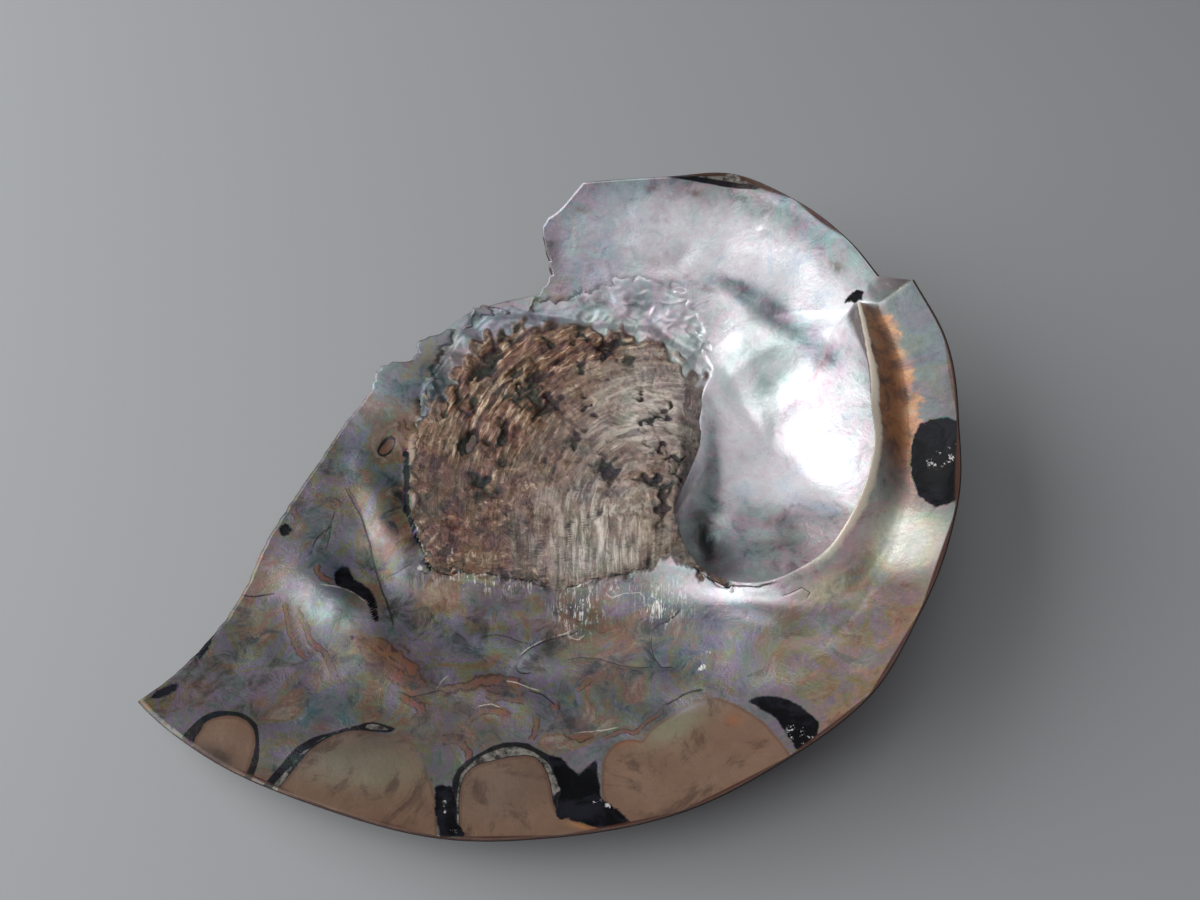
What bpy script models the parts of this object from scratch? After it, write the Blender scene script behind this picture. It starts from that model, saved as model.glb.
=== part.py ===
# An abalone shell lying on its back, mother-of-pearl side up, with one long side broken away.
# It grew as one piece, so it is one closed solid. It starts as a UV sphere whose vertices are then moved:
# the north pole becomes the floor of the hollow inside the spire, a ring round the middle becomes the
# crest of the inner lip, the next ring the outer edge, and the south pole the apex of the spire below.
# Lengths are millimetres up to the last step. +X points to the spire end and +Z up.

import bpy
import bmesh
import numpy as np

NAME = "abalone_shell"
MM = 0.001

# Driving dimensions
HOLLOW = np.array([59.0, 17.0])   # centre of the spire's hollow, seen from above
HOLLOW_FLOOR = 7.0                # height of its floor
APEX_FLOOR = 0.8                  # height of the shell's back below it
GROWN_EDGE = 1.8                  # thickness of the lip where it is whole
EDGE_FADE = 8                     # relief ends within an eighth of the way from this edge

# Columns round the shell, and rows of each part of a column from the hollow to the apex
COLUMNS = 104
HOLLOW_ROWS = 7
WALL_ROWS = 5
CREST_ROWS = 1
BOWL_ROWS = 14
BACK_ROWS = 16
ROWS = HOLLOW_ROWS + WALL_ROWS + CREST_ROWS + BOWL_ROWS + 1 + BACK_ROWS

# The edge of the whole shell as points (x, y, z), counterclockwise from the step behind the inner lip.
# From the sixth point to the twelfth it is where the edge stood before that side broke away.
WHOLE_EDGE = [
    (84, 49, 45), (77, 60, 47), (64, 74, 48), (48, 84, 48), (29, 84, 47), (6, 85, 44), (-45, 84, 36),
    (-85, 64, 27), (-112, 32, 20), (-120, -5, 16), (-112, -37, 14), (-97, -54, 13), (-78, -67, 15),
    (-48, -79, 16), (-23, -85, 17), (3, -85, 19), (28, -81, 23), (51, -71, 28), (69, -59, 33),
    (82, -41, 37), (93, -18, 40), (97, 5, 43), (97, 29, 46), (92, 46, 47),
]
BREAK_START = 5                   # the points of WHOLE_EDGE where the broken side starts and ends
BREAK_END = 11

# The line of the break between those two, seen from above
BREAK_LINE = [
    (6, 85), (1.5, 82.3), (-4.6, 78.6), (-4.2, 75), (-3, 71), (-5, 65), (-9, 61.5), (-15, 60.5), (-21, 62),
    (-27.5, 60), (-29, 57), (-36, 54.5), (-46, 46), (-50, 45), (-54, 37), (-61, 23), (-74, -4), (-82, -31),
    (-89, -44), (-97, -54),
]

# The crest of the inner lip and of the ridge that closes the hollow on the left, as (bearing, x, y, z).
# A bearing is the direction, in degrees from the hollow's centre, of the edge point that it belongs to.
CREST = [
    (52, 76, 46, 33), (67, 71, 48, 28.5), (85, 61, 50, 24), (99, 52, 47, 21), (114, 45, 43, 17.5),
    (128, 40, 36, 15.5), (152, 38, 26, 15.5), (178, 37, 17, 16.5), (201, 34, 6, 17), (222, 31, -8, 17),
    (241, 36, -23, 19.5), (252, 43, -28, 22), (265, 53, -29, 26), (277, 63, -25, 30), (292, 71, -16, 34),
    (314, 77, -2, 37), (342, 78, 12, 39), (377, 78, 26, 40), (401, 77, 44, 40),
]

# What changes round the shell, each as (bearing, value). The hollow's floor rises as a hyperbola:
# the smaller this value, the sooner it is straight, so that it passes evenly below the step.
FLOOR_BEND = [(52, 0.4), (67, 0.55), (85, 0.9), (114, 2), (342, 2), (377, 0.9), (401, 0.45)]
UNDERCUT = [                      # how far the hollow's wall leans out below the crest
    (52, -3), (67, -5), (114, -6), (152, -7), (190, -6), (212, -1), (231, 5), (265, 5), (342, 6), (377, 3),
    (401, 1),
]
WALL_DROP = [                     # height of that wall
    (52, 3), (67, 3.2), (128, 3.5), (152, 5), (178, 7), (212, 8), (241, 10), (265, 14), (292, 18), (342, 16),
    (377, 10), (401, 5),
]
CREST_WIDTH = [(52, 3), (128, 4.5), (178, 4), (212, 2.5), (401, 2.5)]
BOWL_SAG = [                      # how far the bowl hangs below a straight line, half way along
    (52, 1), (85, 2), (114, 4), (135, 7), (163, 9.5), (180, 8.5), (212, 8), (250, 7.5), (292, 5),
    (342, 4), (401, 3),
]
BACK_POWER = [                    # the back rises as this power of the way from the apex
    (52, 3.4), (67, 2.9), (85, 2.3), (114, 2.1), (135, 2.3), (150, 2.2), (163, 2.5), (178, 2.7),
    (240, 3.1), (292, 3.4), (401, 3.4),
]
WALL_PULL = 0.33                  # length of the wall's two handles, as part of its span
FOOT_BULGE = 0.7                  # how much an undercut lengthens the handle at the foot
CREST_BULGE = 0.9                 # and the one at the crest

# The muscle scar: a rough raised patch, as its outline
SCAR = [
    (-41, 11), (-38, -4), (-32, -18), (-7, -21), (6, -23), (21, -20), (31, -14), (34, 2), (33, 21),
    (37, 44), (26, 52), (11, 54), (-4, 57), (-19, 58), (-30, 52), (-38, 38),
]
SCAR_HEIGHT = 1.6
SCAR_LEDGE = 3.0                  # how far its border slopes

# Round swellings and pits inside, as (x, y, half length, half width, turned by degrees, height)
SWELLINGS = [
    (-56, -28, 13, 7, -35, 3.0),      # blister beside the broken side
    (-48, -17, 10, 6, -50, -1.8),     # pit behind it
    (-46, -2, 20, 5, -62, 1.2),       # long fold from the pit to the broken side
    (0, -41, 13, 5, 25, 1.2),         # wavy ridge below the scar
    (-14, -51, 15, 5, -8, 0.9),       # ridge below that one
    (-41, -43, 12, 6, -30, 1.0),      # rough streak
    (35, -40, 12, 7, 20, -1.2),       # dip in front of the inner lip
    (-77, -62, 10, 6, -15, 0.8),      # swellings along the near edge
    (-45, -67, 15, 7, -12, 1.0),
    (-9, -73, 10, 8, 0, 1.0),
    (32, -67, 20, 8, 15, 1.4),
    (52, 72, 18, 8, -25, 1.2),        # swellings of the hollow's far wall
    (50, 55, 12, 6, -30, 1.4),
    (64, 32, 9, 6, 20, 1.2),
    (60, -4, 12, 6, 10, 1.2),
    (40, -10, 7, 6, 0, -2.0),         # deep corner under the inner lip
]

# The valley between the rolled crest and the flat rim of the inner lip
VALLEY_DEPTH = [(52, 0), (222, 0), (252, 0.5), (292, 1.6), (342, 2.0), (401, 1.8)]
VALLEY_AT = 0.42                  # part of the way from the crest to the edge
VALLEY_WIDTH = 0.22

# The back: the seam between the whorls is a groove along a spiral that winds in to the apex
APEX = np.array([66.0, 14.0])
SEAM_START_BEARING = 58.0         # where it leaves the edge
SEAM_START_RADIUS = 38.0
SEAM_SHRINK = 0.36                # radius after one turn, as part of the radius before it
SEAM_TURNS = 1.7
SEAM_DEPTH = 3.4
SEAM_WIDTH = 6.0                  # half width where it starts
SEAM_FADE = 0.25                  # turns over which it starts and ends
FOLD_HEIGHT = 0.55                # growth folds parallel to the edge
FOLD_COUNT = 7
RIB_HEIGHT = 0.6                  # low ribs that run out from the apex
RIB_COUNT = 17
FOLDS_FROM = 0.25                 # part of the way from the apex where folds and ribs begin
FOLDS_FULL = 0.65                 # and where they have their full height

# The three places where the back is worn flat and carries the shell, as (x, y, radius, reach below)
WORN = [(58, 12, 15, 1.6), (0, -44, 16, 6.4), (-14, 24, 16, 4.0)]

SHARP_ANGLE = 50                  # edges bent by more degrees than this are drawn sharp


def curve(keys, at):
    """A smooth curve through keys of (position, value...), with each slope taken from the neighbours."""
    keys = np.array(keys, float)
    place, value = keys[:, 0], keys[:, 1:]
    slope = np.gradient(value, place, axis=0)
    first = np.clip(np.searchsorted(place, at) - 1, 0, len(place) - 2)
    width = (place[first + 1] - place[first])[:, None]
    t = np.clip((at - place[first])[:, None] / width, 0, 1)
    start = (2 * t**3 - 3 * t**2 + 1) * value[first] + (t**3 - 2 * t**2 + t) * slope[first] * width
    end = (3 * t**2 - 2 * t**3) * value[first + 1] + (t**3 - t**2) * slope[first + 1] * width
    return (start + end).squeeze()


def run_along(points, count, smooth):
    """Evenly spaced points along an edge, which bends smoothly or has straight breaks."""
    points = np.array(points, float)
    steps = np.linalg.norm(np.diff(points[:, :2], axis=0), axis=1)
    place = np.concatenate([[0], np.cumsum(steps)])
    at = np.linspace(0, place[-1], count)
    if smooth:
        return curve(np.column_stack([place, points]), at)
    return np.column_stack([np.interp(at, place, column) for column in points.T])


def column_marks():
    """Where each column ends in the plan, at even steps round the shell, and which of them are broken."""
    runs = (WHOLE_EDGE[:BREAK_START + 1], BREAK_LINE, WHOLE_EDGE[BREAK_END:])
    lengths = [np.linalg.norm(np.diff(np.array(run, float)[:, :2], axis=0), axis=1).sum() for run in runs]
    far, broken = (int(round(COLUMNS * length / sum(lengths))) for length in lengths[:2])
    marks = np.concatenate([
        run_along(runs[0], far + 1, True)[:-1, :2],
        run_along(runs[1], broken + 1, False)[:-1, :2],
        run_along(runs[2], COLUMNS - far - broken, True)[:, :2],
    ])
    is_broken = np.zeros(COLUMNS, bool)
    is_broken[far:far + broken] = True
    return marks, is_broken


def signed_distance(x, y, outline):
    """Distance to a closed outline in the plan, negative inside it."""
    outline = np.array(outline, float)
    nearest = np.full(np.shape(x), np.inf)
    inside = np.zeros(np.shape(x), bool)
    for (ax, ay), (bx, by) in zip(outline, np.roll(outline, -1, axis=0)):
        part = ((x - ax) * (bx - ax) + (y - ay) * (by - ay)) / ((bx - ax) ** 2 + (by - ay) ** 2)
        part = np.clip(part, 0, 1)
        nearest = np.minimum(nearest, np.hypot(x - ax - part * (bx - ax), y - ay - part * (by - ay)))
        crosses = (ay > y) != (by > y)
        rise = by - ay if by != ay else 1.0
        inside ^= crosses & (x < (bx - ax) * (y - ay) / rise + ax)
    return np.where(inside, -nearest, nearest)


def ease(t):
    """Zero below 0, one above 1, and smooth between."""
    t = np.clip(t, 0, 1)
    return t * t * (3 - 2 * t)


def bell(x, y, centre_x, centre_y, half_length, half_width, turn):
    """One at the centre of a turned oval, falling off smoothly outside it."""
    angle = np.radians(turn)
    along = (x - centre_x) * np.cos(angle) + (y - centre_y) * np.sin(angle)
    across = (y - centre_y) * np.cos(angle) - (x - centre_x) * np.sin(angle)
    return np.exp(-(along / half_length) ** 2 - (across / half_width) ** 2)


def inner_relief(x, y):
    """Height that the scar, the swellings and the pits add to the inside."""
    height = SCAR_HEIGHT * ease(0.5 - signed_distance(x, y, SCAR) / SCAR_LEDGE)
    for *place, rise in SWELLINGS:
        height = height + rise * bell(x, y, *place)
    return height


def back_relief(x, y, part):
    """Height that the seam, the folds and the ribs add to the back; part runs from 0 at the apex to 1."""
    away = np.hypot(x - APEX[0], y - APEX[1])
    bearing = np.degrees(np.arctan2(y - APEX[1], x - APEX[0]))
    turned = np.mod(bearing - SEAM_START_BEARING, 360) / 360
    height = np.zeros(np.shape(x))
    for turn in range(2):
        wound = turned + turn
        radius = SEAM_START_RADIUS * SEAM_SHRINK ** wound
        width = SEAM_WIDTH * radius / SEAM_START_RADIUS
        there = ease((SEAM_TURNS - wound) / SEAM_FADE) * ease(wound / SEAM_FADE)
        depth = SEAM_DEPTH * radius / SEAM_START_RADIUS
        height = height + there * depth * np.exp(-((away - radius) / width) ** 2)
    middle = ease((part - FOLDS_FROM) / (FOLDS_FULL - FOLDS_FROM)) * ease((1 - part) * EDGE_FADE)
    folds = np.sin(2 * np.pi * FOLD_COUNT * part)
    ribs = np.sin(np.radians(bearing) * RIB_COUNT)
    return height + middle * (FOLD_HEIGHT * folds + RIB_HEIGHT * ribs)


def stations():
    """For every column: the whole shell's edge, the crest, the hollow's foot, and how far it goes."""
    marks, is_broken = column_marks()
    bearing = np.degrees(np.unwrap(np.arctan2(marks[:, 1] - HOLLOW[1], marks[:, 0] - HOLLOW[0])))
    whole = np.array(WHOLE_EDGE, float)
    whole_bearing = np.degrees(np.unwrap(np.arctan2(whole[:, 1] - HOLLOW[1], whole[:, 0] - HOLLOW[0])))
    edge = curve(np.column_stack([whole_bearing, whole]), bearing)
    crest = curve(CREST, bearing)
    changing = dict(
        bend=FLOOR_BEND, undercut=UNDERCUT, drop=WALL_DROP, width=CREST_WIDTH, sag=BOWL_SAG,
        valley=VALLEY_DEPTH, back=BACK_POWER,
    )
    values = {name: curve(keys, bearing)[:, None] for name, keys in changing.items()}
    outward = crest[:, :2] - HOLLOW
    outward = outward / np.linalg.norm(outward, axis=1)[:, None]
    foot = np.column_stack([crest[:, :2] + outward * values["undercut"], crest[:, 2:] - values["drop"]])
    run = edge[:, :2] - crest[:, :2]
    reach = np.linalg.norm(run, axis=1)[:, None]
    run = run / reach
    shoulder = np.column_stack([crest[:, :2] + run * values["width"], crest[:, 2:]])
    near = np.linalg.norm(shoulder[:, :2] - HOLLOW, axis=1)
    far = np.linalg.norm(edge[:, :2] - HOLLOW, axis=1)
    steepness = np.arctan(values["back"] * (edge[:, 2:] - APEX_FLOOR) / far[:, None])
    lip = np.column_stack([edge[:, :2] - run * GROWN_EDGE * np.sin(steepness), edge[:, 2:]])
    cut = (np.linalg.norm(marks - HOLLOW, axis=1) - near) / (far - near)
    cut = np.where(is_broken, cut, 1)[:, None]
    return dict(
        values, edge=edge, lip=lip, lip_height=GROWN_EDGE * np.cos(steepness), far=far[:, None],
        outward=outward, foot=foot, run=run, reach=reach, shoulder=shoulder, cut=cut,
        is_broken=is_broken[:, None],
    )


def shell_points():
    """Every vertex of the shell, by row from the hollow to the apex and by column, centred over its box."""
    at = stations()
    edge, lip, foot, shoulder, bend = at["edge"], at["lip"], at["foot"], at["shoulder"], at["bend"]
    longer = np.hypot(1, bend)
    rows = []
    for q in np.linspace(0, 1, HOLLOW_ROWS + 1):
        plan = HOLLOW + (foot[:, :2] - HOLLOW) * q
        rise = HOLLOW_FLOOR + (foot[:, 2:] - HOLLOW_FLOOR) * (np.hypot(q, bend) - bend) / (longer - bend)
        rows.append(np.column_stack([plan, rise]))

    # From the foot of the hollow's wall over the crest: a cubic that leaves the floor along its slope
    # and arrives on the inner lip along its slope, bulging outwards where the wall is undercut.
    away = np.maximum(np.linalg.norm(foot[:, :2] - HOLLOW, axis=1), 1)[:, None]
    slope = (foot[:, 2:] - HOLLOW_FLOOR) / away / longer / (longer - bend)
    leaving = np.column_stack([at["outward"], slope])
    arriving = np.column_stack([at["run"], (edge[:, 2:] - shoulder[:, 2:] - 4 * at["sag"]) / at["reach"]])
    leaving /= np.linalg.norm(leaving, axis=1)[:, None]
    arriving /= np.linalg.norm(arriving, axis=1)[:, None]
    span = np.linalg.norm(shoulder - foot, axis=1)[:, None]
    bulge = np.maximum(at["undercut"], 0)
    second = foot + leaving * (WALL_PULL * span + FOOT_BULGE * bulge)
    third = shoulder - arriving * (WALL_PULL * span + CREST_BULGE * bulge)
    for q in np.linspace(0, 1, WALL_ROWS + CREST_ROWS + 1)[1:]:
        rows.append(
            (1 - q)**3 * foot + 3 * (1 - q)**2 * q * second + 3 * (1 - q) * q**2 * third + q**3 * shoulder
        )

    # The bowl and the inner lip hang between the crest and the edge, as far as the break, as a parabola
    # that is 4 sag q (1 - q) below a straight line.
    for step in np.linspace(0, 1, BOWL_ROWS + 1)[1:]:
        q = step * at["cut"]
        plan = shoulder[:, :2] + (lip[:, :2] - shoulder[:, :2]) * q
        rise = shoulder[:, 2:] + (lip[:, 2:] - shoulder[:, 2:]) * q - 4 * at["sag"] * q * (1 - q)
        rise = rise - at["valley"] * np.exp(-((q - VALLEY_AT) / VALLEY_WIDTH) ** 2)
        rise = rise + inner_relief(plan[:, :1], plan[:, 1:]) * ease((1 - q) * EDGE_FADE)
        rows.append(np.column_stack([plan, rise]))
    inside = np.array(rows)
    hollow = inside[:-BOWL_ROWS]
    hollow[:, :, 2] += inner_relief(hollow[:, :, 0], hollow[:, :, 1])

    # The back falls from the edge to the apex, steeply at first and then ever flatter.
    end = np.where(at["is_broken"], inside[-1, :, :2], edge[:, :2])
    reached = np.linalg.norm(end - HOLLOW, axis=1)[:, None] / at["far"]
    rows = []
    for step in np.linspace(1, 0, BACK_ROWS + 1):
        part = step * reached
        plan = HOLLOW + (end - HOLLOW) * step
        rise = APEX_FLOOR + (edge[:, 2:] - at["lip_height"] - APEX_FLOOR) * part ** at["back"]
        relief = back_relief(plan[:, :1], plan[:, 1:], part)
        for x, y, radius, reach_below in WORN:
            relief = relief - reach_below * bell(plan[:, :1], plan[:, 1:], x, y, radius, radius, 0)
        rise = rise + relief * ease((1 - part) * EDGE_FADE)
        rows.append(np.column_stack([plan, np.maximum(rise, 0)]))
    points = np.concatenate([inside, rows])
    low, high = points.min(axis=(0, 1)), points.max(axis=(0, 1))
    points[:, :, :2] -= (low[:2] + high[:2]) / 2
    return points


def build_shell(collection):
    """The sphere's vertices, each moved to its place on the shell."""
    points = shell_points()
    mesh = bmesh.new()
    bmesh.ops.create_uvsphere(mesh, u_segments=COLUMNS, v_segments=ROWS, radius=1)
    for vertex in mesh.verts:
        x, y, z = vertex.co
        row = int(round(np.degrees(np.arccos(np.clip(z, -1, 1))) / 180 * ROWS))
        column = int(round(np.degrees(np.arctan2(y, x)) / 360 * COLUMNS)) % COLUMNS
        vertex.co = points[row, column] * MM
    for face in mesh.faces:
        face.smooth = True
    data = bpy.data.meshes.new("shell")
    mesh.to_mesh(data)
    mesh.free()
    data.set_sharp_from_angle(angle=np.radians(SHARP_ANGLE))
    shell = bpy.data.objects.new("shell", data)
    shell.data.materials.append(nacre())
    collection.objects.link(shell)
    return shell


def nacre():
    """Grey mother-of-pearl with a pink and green cast."""
    material = bpy.data.materials.new("nacre")
    material.use_nodes = True
    shader = material.node_tree.nodes["Principled BSDF"]
    shader.inputs["Base Color"].default_value = (0.42, 0.43, 0.42, 1)
    shader.inputs["Roughness"].default_value = 0.25
    shader.inputs["Metallic"].default_value = 0.3
    return material


def main():
    for thing in list(bpy.data.objects):
        bpy.data.objects.remove(thing)
    collection = bpy.data.collections.new(NAME)
    bpy.context.scene.collection.children.link(collection)
    build_shell(collection)


main()
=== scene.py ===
import bpy
import numpy as np
from mathutils import Matrix


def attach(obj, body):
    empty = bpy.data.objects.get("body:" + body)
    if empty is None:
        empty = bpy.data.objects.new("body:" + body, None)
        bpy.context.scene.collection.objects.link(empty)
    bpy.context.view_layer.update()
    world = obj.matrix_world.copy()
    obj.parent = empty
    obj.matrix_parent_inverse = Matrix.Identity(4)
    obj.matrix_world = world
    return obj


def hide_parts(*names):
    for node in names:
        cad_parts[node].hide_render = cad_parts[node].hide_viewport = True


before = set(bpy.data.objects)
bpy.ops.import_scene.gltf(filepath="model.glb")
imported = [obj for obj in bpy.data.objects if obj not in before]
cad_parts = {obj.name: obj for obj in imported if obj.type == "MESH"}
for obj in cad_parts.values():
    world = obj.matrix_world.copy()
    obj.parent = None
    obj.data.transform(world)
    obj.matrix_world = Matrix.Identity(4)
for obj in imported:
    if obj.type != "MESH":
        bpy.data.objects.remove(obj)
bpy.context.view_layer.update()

mm = 0.001

# The camera stands where the photograph was taken from. Its numbers also turn a point of the shell into
# a place in the photograph, so markings can be given as places in a picture 1200 pixels wide, 900 high.
photoView = {
    "width": 1200,
    "height": 900,
    "focalPixels": 1000,
    "elevation": 58,
    "distance": 262,
    "aim": (11, 11, 20),
}

# How the shell is formed, in millimetres. Lists are (bearing from the hollow's centre, value).
shellForm = {
    "columns": 520,
    "seamColumns": 7,
    "seamReach": 22,
    "seamFade": 0.6,
    "hollowRows": 28,
    "wallRows": 26,
    "bowlRows": 106,
    "backRows": 28,
    "hollow": (59, 17),
    "hollowFloor": 7.0,
    "apexFloor": 0.8,
    "edgeThickness": 0.7,
    "edgeFade": 8,
    "wholeEdge": [
        (84, 49, 45), (77, 60, 47), (64, 74, 48), (48, 84, 48), (29, 84, 47), (6, 85, 44), (-45, 84, 36),
        (-85, 64, 27), (-112, 32, 20), (-120, -5, 16), (-112, -37, 14), (-97, -54, 13), (-78, -67, 15),
        (-48, -79, 16), (-23, -85, 17), (3, -85, 19), (28, -81, 23), (51, -71, 28), (69, -59, 33),
        (82, -41, 37), (93, -18, 40), (97, 5, 43), (97, 29, 46), (92, 46, 47),
    ],
    "chippedLength": 92,
    "breakFrom": 5,
    "breakTo": 11,
    "breakLine": [
        (6, 85), (1.5, 82.3), (-4.6, 78.6), (-4.2, 75), (-3, 71), (-5, 65), (-9, 61.5), (-15, 60.5),
        (-21, 62), (-27.5, 60), (-29, 57), (-36, 54.5), (-46, 46), (-50, 45), (-54, 37), (-61, 23),
        (-74, -4), (-82, -31), (-89, -44), (-97, -54),
    ],
    "crest": [
        (52, 76, 46, 33), (67, 71, 48, 28.5), (85, 61, 50, 24), (99, 52, 47, 21), (114, 45, 43, 17.5),
        (128, 40, 36, 15.5), (152, 38, 26, 15.5), (178, 37, 17, 16.5), (201, 34, 6, 17), (222, 31, -8, 17),
        (241, 36, -23, 19.5), (252, 43, -28, 22), (265, 53, -29, 26), (277, 63, -25, 30),
        (292, 71, -16, 34), (314, 77, -2, 37), (342, 78, 12, 39), (377, 78, 26, 40), (401, 77, 44, 40),
    ],
    "floorRound": [(52, 0.4), (67, 0.55), (85, 0.9), (114, 2), (342, 2), (377, 0.9), (401, 0.45)],
    "undercut": [
        (52, -3), (67, -5), (114, -6), (152, -7), (190, -6), (212, -1), (231, 5), (265, 5), (342, 6),
        (377, 3), (401, 1),
    ],
    "wallDrop": [
        (52, 3), (67, 3.2), (128, 3.5), (152, 5), (178, 7), (212, 8), (241, 10), (265, 14), (292, 18),
        (342, 16), (377, 10), (401, 5),
    ],
    "crestWidth": [(52, 3), (128, 4.5), (178, 4), (212, 2.5), (401, 2.5)],
    "bowlSag": [
        (52, 1), (85, 2), (114, 4), (135, 7), (163, 9.5), (180, 8.5), (212, 8), (250, 7.5), (292, 5),
        (342, 4), (401, 3),
    ],
    "backPower": [
        (52, 3.4), (67, 2.9), (85, 2.3), (114, 2.1), (135, 2.3), (150, 2.2), (163, 2.5), (178, 2.7),
        (240, 3.1), (292, 3.4), (401, 3.4),
    ],
    "valleyDepth": [(52, 0), (222, 0), (252, 0.5), (292, 1.6), (342, 2.0), (401, 1.8)],
    "valleyAt": 0.42,
    "valleyWidth": 0.22,
    "scar": [
        (-41, 11), (-38, -4), (-32, -18), (-7, -21), (6, -23), (21, -20), (31, -14), (34, 2), (33, 21),
        (37, 44), (26, 52), (11, 54), (-4, 57), (-19, 58), (-30, 52), (-38, 38),
    ],
    "scarHeight": 1.6,
    "scarLedge": 3.0,
    # x, y, half length, half width, turned by degrees, height
    "swellings": [
        (-56, -28, 13, 7, -35, 3.0), (-48, -17, 10, 6, -50, -1.8), (-46, -2, 20, 5, -62, 1.2),
        (0, -41, 13, 5, 25, 1.2), (-14, -51, 15, 5, -8, 0.9), (-41, -43, 12, 6, -30, 1.0),
        (35, -40, 12, 7, 20, -1.2), (-77, -62, 10, 6, -15, 0.8), (-45, -67, 15, 7, -12, 1.0),
        (-9, -73, 10, 8, 0, 1.0), (32, -67, 20, 8, 15, 1.4), (52, 72, 18, 8, -25, 1.2),
        (50, 55, 12, 6, -30, 1.4), (64, 32, 9, 6, 20, 1.2), (60, -4, 12, 6, 10, 1.2),
        (40, -10, 7, 6, 0, -2.0),
    ],
    "apex": (66, 14),
    "seamBearing": 58,
    "seamRadius": 38,
    "seamShrink": 0.36,
    "seamTurns": 1.7,
    "seamDepth": 3.4,
    "seamWidth": 6.0,
    "foldHeight": 0.55,
    "foldCount": 7,
    "ribHeight": 0.6,
    "ribCount": 17,
    "worn": [(58, 12, 15, 1.6), (0, -44, 16, 6.4), (-14, 24, 16, 4.0)],
}

# Fine relief on top of the form, in millimetres
fineRelief = {
    "bowlRipple": 0.10,
    "bowlRippleSize": 15,
    "hollowRipple": 0.16,
    "hollowRippleSize": 14,
    "breakChip": 0.9,
    "breakWear": 0.25,
    "crustLump": 0.35,
    "veinDepth": 0.16,
    "ribbonHeight": 0.12,
}

# Markings, as places in the photograph. The growth patches along the near edge have up to three
# outlines inside each other: a black line begins, a pale strip begins, and the tan filling begins.
lobeOuter = {
    "tip": [
        (176, 760), (180, 742), (184, 734), (194, 723), (204, 715), (216, 710.6), (228, 710.6),
        (240, 712.4), (250, 717.6), (257, 724), (259, 734), (259.6, 746), (259, 758), (256, 770),
        (251, 780), (240, 800),
    ],
    "left": [
        (255, 800), (263, 785), (270, 777), (278, 768), (288, 756), (298, 746), (310, 739), (320, 735),
        (330, 732.4), (340, 729.6), (350, 727.4), (360, 725.4), (366, 723), (373, 722), (382, 723.8),
        (390, 726.2), (397, 728.6), (393, 731.8), (387, 732.8), (378, 732), (364, 730.4), (350, 731),
        (335, 735), (322, 742), (310, 752), (302, 762), (290, 776), (272, 806),
    ],
    "middle": [
        (448, 870), (450, 800), (451.6, 788), (453, 778), (458, 768), (466, 761), (480, 753), (492, 746),
        (504, 742.4), (516, 742), (528, 743.6), (536, 748), (544, 752), (552, 756), (560, 758), (568, 766),
        (579, 775), (588, 766), (597, 760), (599, 800), (606, 812), (606, 870),
    ],
    "far": [
        (658, 176), (672, 168), (700, 160), (740, 160), (770, 176), (762, 187), (757, 190), (740, 189),
        (720, 186), (700, 182.5), (680, 179),
    ],
    "oval": [
        (391, 434), (396, 438), (395, 445), (391, 452), (385, 457), (379, 456), (377, 451), (379, 445),
        (384, 438),
    ],
}
lobePale = {
    "left": [
        (268, 800), (272, 789), (275, 783), (284, 773), (295, 761), (303, 752), (312, 745), (322, 738),
        (328, 735.4), (318, 743), (309, 749.6), (301, 757), (290, 770), (274, 806),
    ],
    "loop": [(362, 727.6), (368, 725), (375, 724), (384, 726), (393, 728.6), (386, 730.4), (376, 730)],
    "middle": [
        (457, 870), (457, 800), (458, 788), (459.6, 778), (462, 772), (470, 764.6), (478, 758), (490, 752),
        (502, 748), (514, 746.6), (524, 748.4), (534, 752), (541, 757), (548, 763), (553, 771), (557, 782),
        (561, 790), (556, 793), (553, 800), (554, 820), (556, 870),
    ],
    "far": [
        (664, 173), (676, 168), (700, 160), (740, 160), (764, 178), (756, 184), (740, 183.4), (720, 180),
        (700, 177), (680, 175),
    ],
}
lobeFill = {
    "tip": [
        (181, 770), (189, 747), (193, 746), (195, 738), (201, 730), (203, 724), (210, 719), (218, 716.4),
        (228, 715), (239, 716.4), (248, 721), (253, 728), (255.6, 736), (255.6, 746), (253, 756),
        (250, 766), (245, 776), (236, 790),
    ],
    "left": [
        (274, 806), (278, 789), (290, 774), (302, 760), (310, 750), (322, 740.6), (331, 735.6), (345, 732),
        (358, 730.4), (370, 731.4), (380, 733.4), (390, 734), (398, 732.4), (410, 739), (421, 750),
        (426, 761), (428, 773), (433, 786), (437, 802), (438, 850), (284, 850),
    ],
    "middle": [
        (459, 870), (459, 802), (460, 790), (462.4, 780), (465, 774), (472, 768), (480, 763.6), (496, 760),
        (510, 757), (526, 755), (536, 757), (542, 764), (547, 773), (550, 783), (552, 792), (553, 802),
        (558, 813), (574, 819), (590, 826), (606, 829), (606, 870),
    ],
    "right": [
        (612, 870), (606, 808), (601, 792), (601, 766), (604, 757), (608, 749.6), (615, 743), (624, 739),
        (633, 738.4), (642, 740), (647, 732), (653, 726), (661, 720), (671, 713.6), (683, 706), (694, 700),
        (706, 697), (718, 697), (729, 701), (740, 706), (750, 712), (765, 722), (782, 742), (816, 790),
    ],
    "far": [(668, 172), (678, 168), (690, 165), (699, 160), (704, 168), (703, 175), (696, 176), (682, 174)],
    "oval": [
        (391, 437), (394, 439), (393, 445), (389.6, 451), (384.5, 455), (380, 454), (379, 451), (381, 446),
        (386, 440),
    ],
}

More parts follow.
